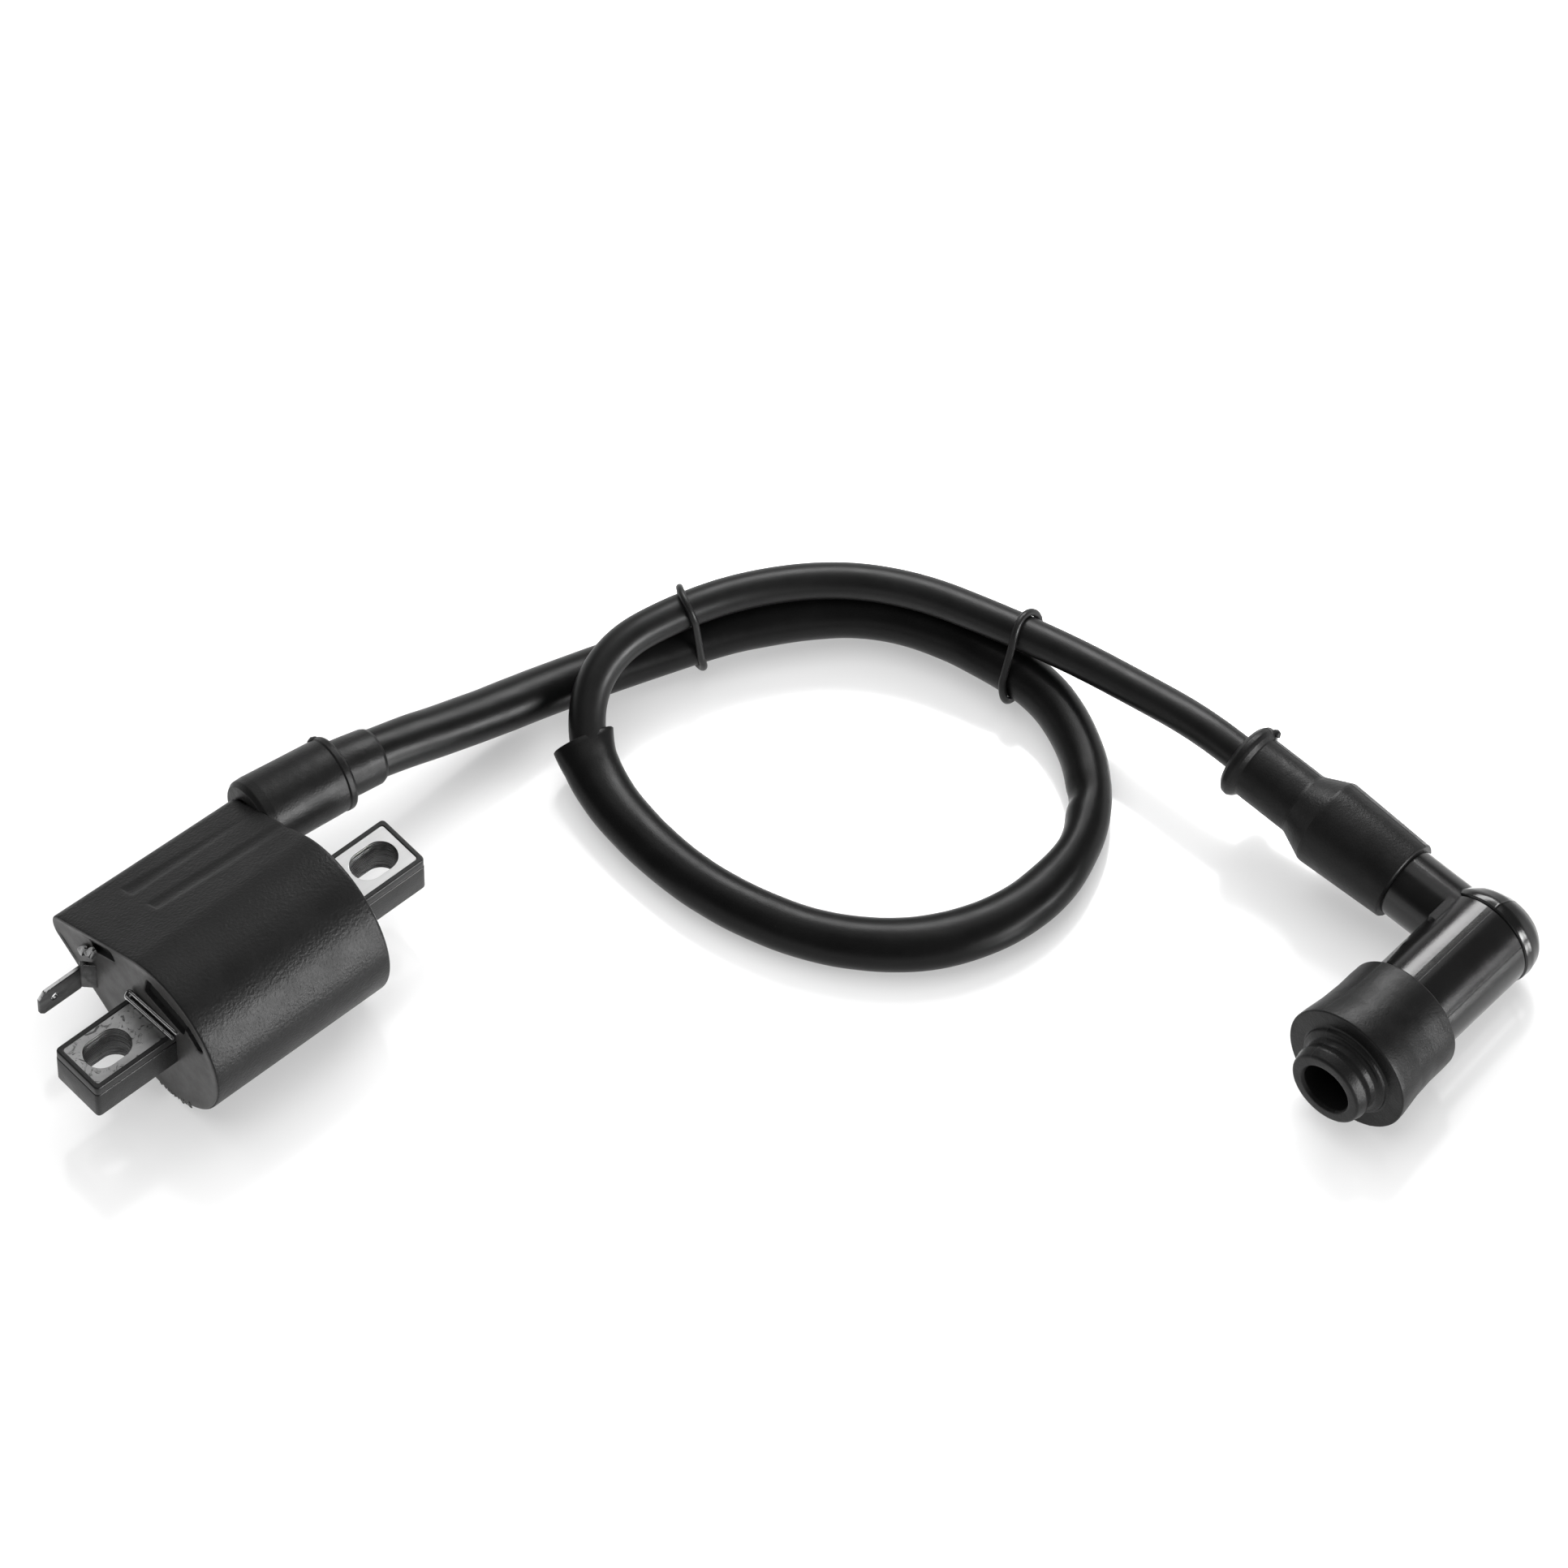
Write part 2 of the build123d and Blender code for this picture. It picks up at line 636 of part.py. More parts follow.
socket_start = resistor_start + resistor_length + resistor_cap_end
socket_bore = 3.2
socket_profile = [
    (socket_start, 0), (socket_start, cap_bore), (socket_start + 1.5, cap_bore),
    (socket_start + 1.5, 4.5), (34.0, 4.5), (34.0, socket_bore), (socket_start + 2.2, socket_bore),
    (socket_start + 2.2, 0),
]
clip_along = 31.0
clip_radius = 4.5
clip_wire = 0.4
with BuildPart() as clip_ring:
    revolve(disc(elbow + mouth_axis * clip_along + arm_axis * clip_radius,
                 mouth_axis.cross(arm_axis), clip_wire),
            axis=mouth_line, revolution_arc=300)

with BuildPart() as plug_terminal:
    revolve(turned(socket_profile, elbow, mouth_axis), axis=mouth_line)
    add(clip_ring.part, mode=Mode.SUBTRACT)
plug_terminal.part.label = "plug_terminal"

with BuildPart() as terminal_clip:
    add(clip_ring.part)
terminal_clip.part.label = "terminal_clip"

# ---- Report and export ----------------------------------------------------------------------------

print("lead corner radii:", [round(radius, 1) for radius in lead_radii])
for name, path, solid, outer, inner in (
    ("jacket", lead_path, lead_jacket.part, jacket_radius, jacket_bore),
    ("sleeve", sleeve_path, lead_sleeve.part, sleeve_radius, sleeve_bore),
    ("conductor", wire_path, lead_conductor.part, conductor_radius, 0.0),
):
    expected = math.pi * (outer ** 2 - inner ** 2) * path.length
    print(name, "length", round(path.length, 1), "volume", round(solid.volume, 1),
          "section x length", round(expected, 1))

built = [
    casing, potting_resin, core_laminations, primary_bobbin, primary_winding, layer_insulation,
    secondary_bobbin, secondary_winding, ground_clip, spade_terminal, solder_joint, ht_terminal,
    ht_link, tower_boot, exit_bush, lead_conductor, lead_jacket, lead_sleeve, cap_body,
    cap_end_dome, plug_boot, lead_boot, elbow_contact, cable_screw, contact_spring, resistor,
    resistor_caps, plug_terminal, terminal_clip,
]
shapes = [item.part for item in built]
shapes += [ear_cover_near, ear_cover_far, lead_ring_near, lead_ring_far]
for shape in shapes:
    export_step(shape, f"parts/{shape.label}.step")
    box = shape.bounding_box()
    print(shape.label, len(shape.solids()), round(shape.volume, 1), box.min, box.max)
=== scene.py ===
import bpy
import math
import random
import numpy as np
from mathutils import Matrix, Vector, noise


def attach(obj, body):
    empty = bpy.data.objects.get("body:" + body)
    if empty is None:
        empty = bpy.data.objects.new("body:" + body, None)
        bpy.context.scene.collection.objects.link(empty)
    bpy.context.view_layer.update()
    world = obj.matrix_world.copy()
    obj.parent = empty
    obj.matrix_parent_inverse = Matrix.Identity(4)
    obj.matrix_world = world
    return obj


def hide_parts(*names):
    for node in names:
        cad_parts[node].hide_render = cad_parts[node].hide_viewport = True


MM = 0.001
FULL_TURN = 2 * math.pi

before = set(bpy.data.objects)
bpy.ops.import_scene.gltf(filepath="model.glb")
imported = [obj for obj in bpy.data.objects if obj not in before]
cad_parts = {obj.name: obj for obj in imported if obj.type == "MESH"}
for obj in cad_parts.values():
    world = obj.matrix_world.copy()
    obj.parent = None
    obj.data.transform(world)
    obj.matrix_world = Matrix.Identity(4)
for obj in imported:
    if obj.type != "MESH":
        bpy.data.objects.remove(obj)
bpy.context.view_layer.update()
scene = bpy.context.scene
scene.view_settings.view_transform = "Standard"

# ---- Camera ------------------------------------------------------------------------------------

camera_back = Vector((-0.3825, -0.4369, 0.8141)).normalized()
camera_target = Vector((0.1100, -0.0310, 0.0))
camera_distance = 2.5
camera_data = bpy.data.cameras.new("camera")
camera_data.lens = 307.45
camera_data.sensor_width = 36.0
camera = bpy.data.objects.new("camera", camera_data)
camera.location = camera_target + camera_back * camera_distance
camera.rotation_mode = "QUATERNION"
camera.rotation_quaternion = (-camera_back).to_track_quat("-Z", "Y")
scene.collection.objects.link(camera)
scene.camera = camera

# ---- Cord routes, in metres: the same points as the CAD route ---------------------------------

elbow = Vector((0.17831, -0.14791, 0.0105))
mouth_axis = Vector((-0.985964, -0.150874, 0.071497)).normalized()
arm_axis = Vector((-0.142288, 0.983364, 0.112914)).normalized()


def arm_point(distance, lift=0.0):
    """A point on the cap arm's axis, in metres."""
    return elbow + arm_axis * distance + Vector((0, 0, lift))


lead_radius, conductor_radius = 0.0035, 0.0009
sleeve_radius, sleeve_bore_radius = 0.0048, 0.0037

lead_route = [
    Vector((0.0080, 0.0172, 0.0199)), Vector((0.0225, 0.0172, 0.0199)),
    Vector((0.0382, 0.0156, 0.0195)), Vector((0.0508, 0.0147, 0.0174)),
    Vector((0.0695, 0.0125, 0.0116)), Vector((0.0905, 0.0103, 0.0066)),
    Vector((0.1079, 0.0049, 0.0063)), Vector((0.1267, -0.0024, 0.0072)),
    Vector((0.1473, -0.0159, 0.0066)), Vector((0.1553, -0.0368, 0.0072)),
    Vector((0.1584, -0.0544, 0.0063)), Vector((0.1495, -0.0749, 0.00495)),
    Vector((0.1292, -0.0853, 0.0049)), Vector((0.1065, -0.0815, 0.00495)),
    Vector((0.0900, -0.0661, 0.0049)), Vector((0.0813, -0.0453, 0.00495)),
    Vector((0.0795, -0.0255, 0.0050)), Vector((0.0815, -0.0092, 0.0062)),
    Vector((0.0889, 0.0015, 0.0121)), Vector((0.0996, 0.0052, 0.0158)),
    Vector((0.1127, 0.0034, 0.0161)), Vector((0.1269, -0.0010, 0.0158)),
    Vector((0.1414, -0.0099, 0.0153)), Vector((0.1510, -0.0220, 0.0153)),
    Vector((0.1571, -0.0368, 0.0155)), Vector((0.1630, -0.0523, 0.0150)),
    Vector((0.1659, -0.0656, 0.0162)), arm_point(0.068), arm_point(0.053),
    arm_point(0.038, 0.0003), arm_point(0.024),
]
sleeve_start = Vector((0.03035, 0.0164, 0.0197))
sleeve_end = Vector((0.0844, -0.0036, 0.0088))
sleeve_route = [sleeve_start] + lead_route[2:18] + [sleeve_end]


def route_line(points):
    """Points read from the smooth spline that has the route's points as its control points."""
    curve = bpy.data.curves.new("route", "CURVE")
    curve.dimensions = "3D"
    spline = curve.splines.new("NURBS")
    spline.points.add(len(points) - 1)
    for point, place in zip(spline.points, points):
        point.co = (*place, 1.0)
    spline.order_u = 3
    spline.use_endpoint_u = True
    spline.resolution_u = 14
    holder = bpy.data.objects.new("route", curve)
    mesh = bpy.data.meshes.new_from_object(holder)
    line = np.array([vertex.co for vertex in mesh.vertices], float)
    bpy.data.meshes.remove(mesh)
    bpy.data.objects.remove(holder)
    bpy.data.curves.remove(curve)
    return line


def frames(line):
    """Distance along a line, and its tangent, side and upward directions at each point."""
    steps = np.linalg.norm(np.diff(line, axis=0), axis=1)
    along = np.concatenate([[0], np.cumsum(steps)])
    tangent = np.gradient(line, along, axis=0)
    tangent /= np.linalg.norm(tangent, axis=1)[:, None]
    side = np.cross(tangent, [0, 0, 1])
    side /= np.linalg.norm(side, axis=1)[:, None]
    up = np.cross(side, tangent)
    return along, tangent, side, up


# ---- Mesh helpers ------------------------------------------------------------------------------


def angles_round(count):
    """Evenly spaced angles round a full turn."""
    return np.linspace(0, FULL_TURN, count, endpoint=False)


def linked(name, data):
    """A new object in the scene."""
    made = bpy.data.objects.new(name, data)
    scene.collection.objects.link(made)
    return made


def shade(mesh, sharp):
    """Smooth shading, with edges sharper than this angle in degrees kept crisp."""
    mesh.shade_smooth()
    mesh.set_sharp_from_angle(angle=math.radians(sharp))


def loft(name, rings, loop=False, sharp=40, tile=None):
    """A skin over rings of points, its first and last ring filled, or joined to each other."""
    rings = np.array(rings, float)
    count, around = rings.shape[:2]
    faces, uvs = [], []
    if tile is None:
        tile = np.arange(count) / max(count - 1, 1)
    spans = count if loop else count - 1
    for i in range(spans):
        low, high = i * around, (i + 1) % count * around
        v0, v1 = tile[i], tile[(i + 1) % count]
        for j in range(around):
            k = (j + 1) % around
            faces.append((low + j, low + k, high + k, high + j))
            u0, u1 = j / around, (j + 1) / around
            uvs += [(u0, v0), (u1, v0), (u1, v1), (u0, v1)]
    if not loop:
        faces.append(tuple(range(around - 1, -1, -1)))
        faces.append(tuple((count - 1) * around + j for j in range(around)))
        uvs += [(0.5, 0.5)] * (2 * around)
    mesh = bpy.data.meshes.new(name)
    mesh.from_pydata([tuple(v) for v in rings.reshape(-1, 3)], [], faces)
    shade(mesh, sharp)
    layer = mesh.uv_layers.new(name="UVMap")
    layer.data.foreach_set("uv", np.array(uvs, np.float32).ravel())
    mesh.validate()
    return linked(name, mesh)


def join(name, parts):
    """Several meshes as one object."""
    for part in parts:
        part.data.transform(part.matrix_world)
        part.matrix_world = Matrix.Identity(4)
    with bpy.context.temp_override(
        active_object=parts[0], selected_editable_objects=parts, object=parts[0]
    ):
        bpy.ops.object.join()
    parts[0].name = name
    parts[0].data.name = name
    return parts[0]


def rounded(points, rounds, closed=False, steps=6):
    """An outline with the numbered corners rounded."""
    made, count = [], len(points)
    for index, point in enumerate(points):
        radius = rounds.get(index, 0)
        here = np.array(point, float)
        if not radius or (not closed and index in (0, count - 1)):
            made.append(here)
            continue
        before = np.array(points[index - 1], float) - here
        after = np.array(points[(index + 1) % count], float) - here
        long_before, long_after = np.linalg.norm(before), np.linalg.norm(after)
        before, after = before / long_before, after / long_after
        angle = math.acos(max(-1.0, min(1.0, float(before @ after))))
        cut = min(radius / math.tan(angle / 2), 0.48 * long_before, 0.48 * long_after)
        for t in np.linspace(0, 1, steps):
            first, last = here + before * cut, here + after * cut
            made.append((1 - t) ** 2 * first + 2 * t * (1 - t) * here + t * t * last)
    return np.array(made)


def lathe(name, start, direction, outline, rounds, closed=True, seams=(), count=112, shape=None):
    """A turned piece: an outline of (along, radius) in millimetres round a line.

    seams are (angle, height, half width) ridges, with the angle measured from straight up.
    shape(along, radius, angle) is added to the radius.
    """
    outline = rounded(outline, rounds, closed)
    start, direction = np.array(start, float), np.array(direction, float)
    direction /= np.linalg.norm(direction)
    up = (0, 0, 1)
    zero = np.array(up, float) - np.dot(up, direction) * direction
    zero /= np.linalg.norm(zero)
    quarter = np.cross(direction, zero)
    angles = set(np.round(angles_round(count), 5))
    for middle, _, half in seams:
        for k in (-2, -1, -0.4, 0, 0.4, 1, 2):
            angles.add(round((math.radians(middle) + k * half / 10) % FULL_TURN, 5))
    angles = np.array(sorted(angles))
    rings = []
    for along, radius in outline:
        ring = []
        for angle in angles:
            extra = 0.0
            for middle, height, half in seams:
                gap = (angle - math.radians(middle) + math.pi) % FULL_TURN - math.pi
                extra += height * math.exp(-((gap * 10 / half) ** 2))
            r = max(radius, 1e-4)
            if radius > 1:
                r += extra
            if shape is not None:
                r += shape(along, radius, angle)
            out = math.cos(angle) * zero + math.sin(angle) * quarter
            ring.append(start + direction * along * MM + out * r * MM)
        rings.append(ring)
    return loft(name, rings, loop=closed, sharp=50)


def slab(name, outlines, thick, bevel, place):
    """A flat piece with bevelled edges, from outlines in millimetres, centred on its plane."""
    curve = bpy.data.curves.new(name, "CURVE")
    curve.dimensions = "2D"
    curve.fill_mode = "BOTH"
    for outline in outlines:
        spline = curve.splines.new("POLY")
        spline.points.add(len(outline) - 1)
        for point, (x, y) in zip(spline.points, outline):
            point.co = (x * MM, y * MM, 0.0, 1.0)
        spline.use_cyclic_u = True
    curve.extrude = (thick / 2 - bevel) * MM
    curve.bevel_depth = bevel * MM
    curve.bevel_resolution = 2
    curve.offset = -bevel * MM
    holder = bpy.data.objects.new(name, curve)
    mesh = bpy.data.meshes.new_from_object(holder)
    bpy.data.objects.remove(holder)
    bpy.data.curves.remove(curve)
    mesh.transform(place)
    shade(mesh, 35)
    mesh.name = name
    return linked(name, mesh)


def at(x, y, z):
    """A move by millimetres."""
    return Matrix.Translation((x * MM, y * MM, z * MM))


# Turns a flat piece's own x and y to the object's X and Z
stand = Matrix(((1, 0, 0, 0), (0, 0, -1, 0), (0, 1, 0, 0), (0, 0, 0, 1)))


def stadium(x, length, width):
    """A slot's outline, long along X, with its middle at this X."""
    reach, radius, count = (length - width) / 2, width / 2, 18
    made = []
    for end in (1, -1):
        for k in range(count + 1):
            angle = math.pi * (k / count - 0.5)
            made.append((x + end * (reach + radius * math.cos(angle)),
                         end * radius * math.sin(angle)))
    return made


# ---- Materials ---------------------------------------------------------------------------------


def grey(value, warm=0.0):
    return (value * (1 + warm), value, value * (1 - warm), 1.0)


class Finish:
    """One procedural material, built up node by node."""

    def __init__(self, name):
        self.material = bpy.data.materials.new(name)
        self.material.use_nodes = True
        tree = self.material.node_tree
        self.nodes, self.links = tree.nodes, tree.links
        self.shader = self.nodes["Principled BSDF"]
        self.place = self.nodes.new("ShaderNodeTexCoord").outputs["Object"]
        self.normal = None

    def set(self, **values):
        for name, value in values.items():
            self.shader.inputs[name.replace("_", " ")].default_value = value

    def noise(self, scale, detail=4.0, rough=0.55, stretch=(1, 1, 1), twist=0.0):
        """Cloudy noise over the piece, finer with scale and drawn out by stretch."""
        mapping = self.nodes.new("ShaderNodeMapping")
        mapping.inputs["Scale"].default_value = stretch
        self.links.new(self.place, mapping.inputs["Vector"])
        made = self.nodes.new("ShaderNodeTexNoise")
        made.inputs["Scale"].default_value = scale
        made.inputs["Detail"].default_value = detail
        made.inputs["Roughness"].default_value = rough
        made.inputs["Distortion"].default_value = twist
        self.links.new(mapping.outputs["Vector"], made.inputs["Vector"])
        return made.outputs["Fac"]

    def cells(self, scale):
        """Distance from the nearest of scattered points."""
        made = self.nodes.new("ShaderNodeTexVoronoi")
        made.inputs["Scale"].default_value = scale
        self.links.new(self.place, made.inputs["Vector"])
        return made.outputs["Distance"]

    def across(self):
        """The X coordinate, in metres."""
        split = self.nodes.new("ShaderNodeSeparateXYZ")
        self.links.new(self.place, split.inputs["Vector"])
        return split.outputs["X"]

    def ramp(self, value, stops):
        made = self.nodes.new("ShaderNodeValToRGB")
        points = made.color_ramp.elements
        while len(points) < len(stops):
            points.new(0.5)
        for point, (where, colour) in zip(points, stops):
            point.position = where
            point.color = colour
        self.links.new(value, made.inputs["Fac"])
        return made.outputs["Color"]

    def range(self, value, low, high, start=0.3, end=0.7):
        """A value between start and end, mapped to between low and high."""
        made = self.nodes.new("ShaderNodeMapRange")
        made.inputs["From Min"].default_value = start
        made.inputs["From Max"].default_value = end
        made.inputs["To Min"].default_value = low
        made.inputs["To Max"].default_value = high
        self.links.new(value, made.inputs["Value"])
        return made.outputs["Result"]

    def mix(self, amount, first, second):
        """From the first colour to the second. Sockets 0, 6 and 7 are those of a colour mix."""
        made = self.nodes.new("ShaderNodeMix")
        made.data_type = "RGBA"
        sockets = (made.inputs[0], made.inputs[6], made.inputs[7])
        for socket, value in zip(sockets, (amount, first, second)):
            if hasattr(value, "links"):
                self.links.new(value, socket)
            else:
                socket.default_value = value
        return made.outputs[2]

    def bump(self, height, depth):
        made = self.nodes.new("ShaderNodeBump")
        made.inputs["Strength"].default_value = 1.0
        made.inputs["Distance"].default_value = depth
        self.links.new(height, made.inputs["Height"])
        if self.normal is not None:
            self.links.new(self.normal, made.inputs["Normal"])
        self.normal = made.outputs["Normal"]

    def colour(self, value):
        self.links.new(value, self.shader.inputs["Base Color"])

    def rough(self, value):
        self.links.new(value, self.shader.inputs["Roughness"])

    def done(self):
        if self.normal is not None:
            self.links.new(self.normal, self.shader.inputs["Normal"])
        return self.material


def moulded(name, dark, light, rough, grain, wave=None, specks=None, gloss=0.5, warm=0.0,
            patch=90, pit_shade_x=None):
    """Plastic or rubber: cloudy tone, uneven sheen, fine grain, soft waves and a few specks.

    rough is the range of roughness, grain and wave are (scale, depth), and specks are
    (scale, size, tone). The last argument, when given, is the X beyond which the surface is
    painted dark and dull: painted shade for pits in a face.
    """
    made = Finish(name)
    tone = made.ramp(made.noise(patch, 5, 0.6),
                     [(0.3, grey(dark, warm)), (0.7, grey(light, warm))])
    if specks:
        scale, size, value = specks
        spot = made.range(made.cells(scale), 0.75, 0.0, size * 0.5, size)
        tone = made.mix(spot, tone, grey(value))
    dull = made.range(made.noise(patch * 2.3, 6, 0.65), *rough)
    # Painted shade: past that X the pits are painted near black and dull
    if pit_shade_x is not None:
        deep = made.range(made.across(), 0.0, 1.0, pit_shade_x, pit_shade_x + 0.00008)
        tone = made.mix(deep, tone, grey(0.002))
        dull = made.mix(deep, dull, grey(0.9))
    made.colour(tone)
    made.rough(dull)
    if wave:
        made.bump(made.noise(wave[0], 3, 0.5), wave[1])
    made.bump(made.noise(grain[0], 2, 0.6), grain[1])
    made.set(Specular_IOR_Level=gloss)
    return made.done()


def metal(name, dark, light, rough, grain, stretch=(1, 1, 1), stains=None, tint=(1, 1, 1),
          patch=160):
    """Bare or plated metal: drawn or rolled grain, patchy tone and stains.

    rough and grain are as for a moulded piece, and stains are (scale, start, full, tone).
    """
    made = Finish(name)

    def tinted(value):
        return (value * tint[0], value * tint[1], value * tint[2], 1.0)

    tone = made.ramp(made.noise(patch, 6, 0.65, stretch, 0.4),
                     [(0.28, tinted(dark)), (0.72, tinted(light))])
    if stains:
        scale, low, high, value = stains
        amount = made.range(made.noise(scale, 5, 0.6, (1, 1, 1), 1.2), 0.0, 0.85, low, high)
        tone = made.mix(amount, tone, tinted(value))
    made.colour(tone)
    made.rough(made.range(made.noise(patch * 1.7, 6, 0.7, stretch), *rough))
    made.bump(made.noise(grain[0], 4, 0.7, stretch), grain[1])
    made.set(Metallic=1.0)
    return made.done()


casing_plastic = moulded("casing_plastic", 0.0055, 0.0085, (0.36, 0.46), (1700, 0.0001),
                         wave=(120, 0.00008), gloss=0.21, specks=(420, 0.018, 0.08))
# The resin's pits get painted shade, near black past the given X
resin = moulded("resin", 0.036, 0.056, (0.34, 0.50), (2600, 0.00002), wave=(110, 0.00014),
                warm=0.02, patch=110, specks=(500, 0.03, 0.16), pit_shade_x=-0.02039)
wet_resin = moulded("wet_resin", 0.006, 0.010, (0.08, 0.16), (2600, 0.00004), gloss=0.9)
cover_plastic = moulded("cover_plastic", 0.0045, 0.0075, (0.32, 0.44), (3000, 0.00004),
                        wave=(150, 0.0001), gloss=0.35, specks=(350, 0.02, 0.08))
boot_rubber = moulded("boot_rubber", 0.0045, 0.0075, (0.32, 0.46), (2400, 0.00004),
                      wave=(200, 0.00015), gloss=0.21, specks=(380, 0.022, 0.10))
sleeve_vinyl = moulded("sleeve_vinyl", 0.003, 0.005, (0.28, 0.38), (4200, 0.00002),
                       wave=(110, 0.0001), gloss=0.18, specks=(300, 0.02, 0.1))
jacket_silicone = moulded("jacket_silicone", 0.0045, 0.007, (0.32, 0.42), (5200, 0.000018),
                          wave=(100, 0.00006), gloss=0.26, specks=(320, 0.016, 0.08))
ring_rubber = moulded("ring_rubber", 0.006, 0.009, (0.30, 0.42), (4000, 0.00003), gloss=0.3)
cap_phenolic = moulded("cap_phenolic", 0.0045, 0.007, (0.13, 0.21), (3800, 0.000012),
                       wave=(90, 0.00002), gloss=0.46, specks=(300, 0.014, 0.06))
bobbin_plastic = moulded("bobbin_plastic", 0.30, 0.38, (0.4, 0.5), (3000, 0.00002), warm=0.12)
insulation_film = moulded("insulation_film", 0.42, 0.5, (0.2, 0.3), (900, 0.00003), warm=0.25)
resistor_ceramic = moulded("resistor_ceramic", 0.5, 0.6, (0.5, 0.65), (2600, 0.00003),
                           warm=0.05)


def sheet_steel():
    """The bar's rolled sheets: clean at the far end, stained and duller at the near end."""
    made = Finish("core_steel")
    near = made.range(made.across(), 1.0, 0.0, -0.01, 0.01)
    clean = made.ramp(made.noise(150, 6, 0.65, (0.2, 1, 1), 0.4),
                      [(0.28, grey(0.47)), (0.72, grey(0.60))])
    dull = made.ramp(made.noise(150, 6, 0.65, (0.5, 1, 1), 0.6),
                     [(0.28, grey(0.26)), (0.72, grey(0.46))])
    stain = made.range(made.noise(170, 5, 0.6, (1, 1, 1), 3.3), 0.0, 0.8, 0.56, 0.64)
    ring = made.range(made.noise(330, 3, 0.5, (1, 1, 1), 2.4), 0.0, 0.8, 0.60, 0.66)
    dull = made.mix(stain, dull, grey(0.07))
    dull = made.mix(ring, dull, grey(0.04))
    made.colour(made.mix(near, clean, dull))
    made.rough(made.range(made.noise(260, 6, 0.7, (0.12, 1, 1)), 0.26, 0.40))
    made.bump(made.noise(1500, 4, 0.7, (0.12, 1, 1)), 0.00001)
    made.set(Metallic=1.0)
    return made.done()


core_steel = sheet_steel()
cut_steel = metal("cut_steel", 0.03, 0.13, (0.4, 0.6), (900, 0.00004), (0.15, 0.15, 1),
                  stains=(140, 0.5, 0.62, 0.02))
oxidised_steel = metal("oxidised_steel", 0.04, 0.15, (0.34, 0.55), (1600, 0.00003), (0.4, 1, 1),
                       stains=(240, 0.5, 0.66, 0.05))
tinned_steel = metal("tinned_steel", 0.5, 0.74, (0.2, 0.38), (1600, 0.00002), (0.4, 1, 1),
                     stains=(260, 0.58, 0.7, 0.2))
solder = metal("solder", 0.15, 0.30, (0.10, 0.22), (500, 0.00003), stains=(300, 0.50, 0.62, 0.05))
# The ground clip's steel, also the painted highlight on the terminal's upward edges
clip_steel_and_terminal_highlight = metal("clip_steel_and_terminal_highlight", 0.46, 0.66, (0.16, 0.28), (900, 0.000004),
                   stains=(420, 0.56, 0.64, 0.12))
brass = metal("brass", 0.55, 0.7, (0.25, 0.4), (1500, 0.00001), tint=(1.0, 0.75, 0.38))
copper_wire = metal("copper_wire", 0.6, 0.75, (0.25, 0.4), (2500, 0.00006), (6, 1, 1),
                    tint=(1.0, 0.5, 0.3))
spring_steel = metal("spring_steel", 0.4, 0.6, (0.25, 0.4), (1800, 0.00001))


def dress(piece, material, body="coil", replaces=()):
    """Gives a piece its material, its body and the CAD nodes it stands for."""
    piece.data.materials.clear()
    piece.data.materials.append(material)
    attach(piece, body)
    if replaces:
        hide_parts(*replaces)
    return piece


# ---- The lead and its sleeve -------------------------------------------------------------------

lead_line = route_line(lead_route)
sleeve_line = route_line(sleeve_route)


def tube(name, line, radius, around=40):
    """A plain round tube along a line, in metres."""
    along, tangent, side, up = frames(line)
    angles = angles_round(around)
    circle = (np.cos(angles)[None, :, None] * side[:, None]
              + np.sin(angles)[None, :, None] * up[:, None])
    rings = line[:, None] + circle * radius
    return loft(name, rings, tile=along / (FULL_TURN * radius))


def nearest(line, point):
    """Which point of a line is nearest to this one."""
    return int(np.linalg.norm(line - np.array(point), axis=1).argmin())


# The conductor stops short of the lead's ends, inside the pin and the screw
conductor_short = 8
lead = tube("lead", lead_line, lead_radius)
conductor = tube("conductor", lead_line[conductor_short:-conductor_short], conductor_radius, 16)

# How much wider and flatter than round the sleeve is: (place, width, height)
sleeve_flat = [
    ((0.0304, 0.0164, 0.0197), 1.00, 1.00), ((0.0908, 0.0098, 0.0067), 1.02, 0.98),
    ((0.1370, -0.0092, 0.0069), 1.00, 1.00), ((0.1553, -0.0368, 0.0070), 0.98, 1.00),
    ((0.1570, -0.0540, 0.0064), 0.94, 1.03), ((0.1500, -0.0700, 0.0054), 0.90, 1.02),
    ((0.1380, -0.0815, 0.0050), 0.93, 1.00), ((0.1270, -0.0835, 0.0049), 1.04, 0.96),
    ((0.1065, -0.0795, 0.0049), 1.10, 0.93), ((0.0915, -0.0650, 0.0049), 1.06, 0.95),
    ((0.0815, -0.0430, 0.0050), 1.02, 0.98), ((0.0805, -0.0255, 0.0050), 1.04, 0.97),
    ((0.0830, -0.0080, 0.0070), 1.12, 0.93), ((0.0849, -0.0036, 0.0091), 1.25, 0.88),
]
# Dents, and a bulge with its depth below zero: (place, towards, length along, depth), in metres
sleeve_dents = [
    ((0.1400, -0.0800, 0.0050), (-0.55, 0.80, 0.2), 0.0070, 0.0009),
    ((0.1475, -0.0745, 0.0052), (-0.8, 0.5, 0.5), 0.0022, 0.0009),
    ((0.1540, -0.0300, 0.0072), (-0.9, 0.1, 0.4), 0.0040, 0.0006),
    ((0.1050, -0.0800, 0.0049), (0.3, 0.9, 0.3), 0.0160, -0.0003),
]
ripple_depth, ripple_scale = 0.00006, 160
# The sleeve's end is cut at a slant, which fades over this length
cut_slant, cut_fade = 0.0012, 0.006


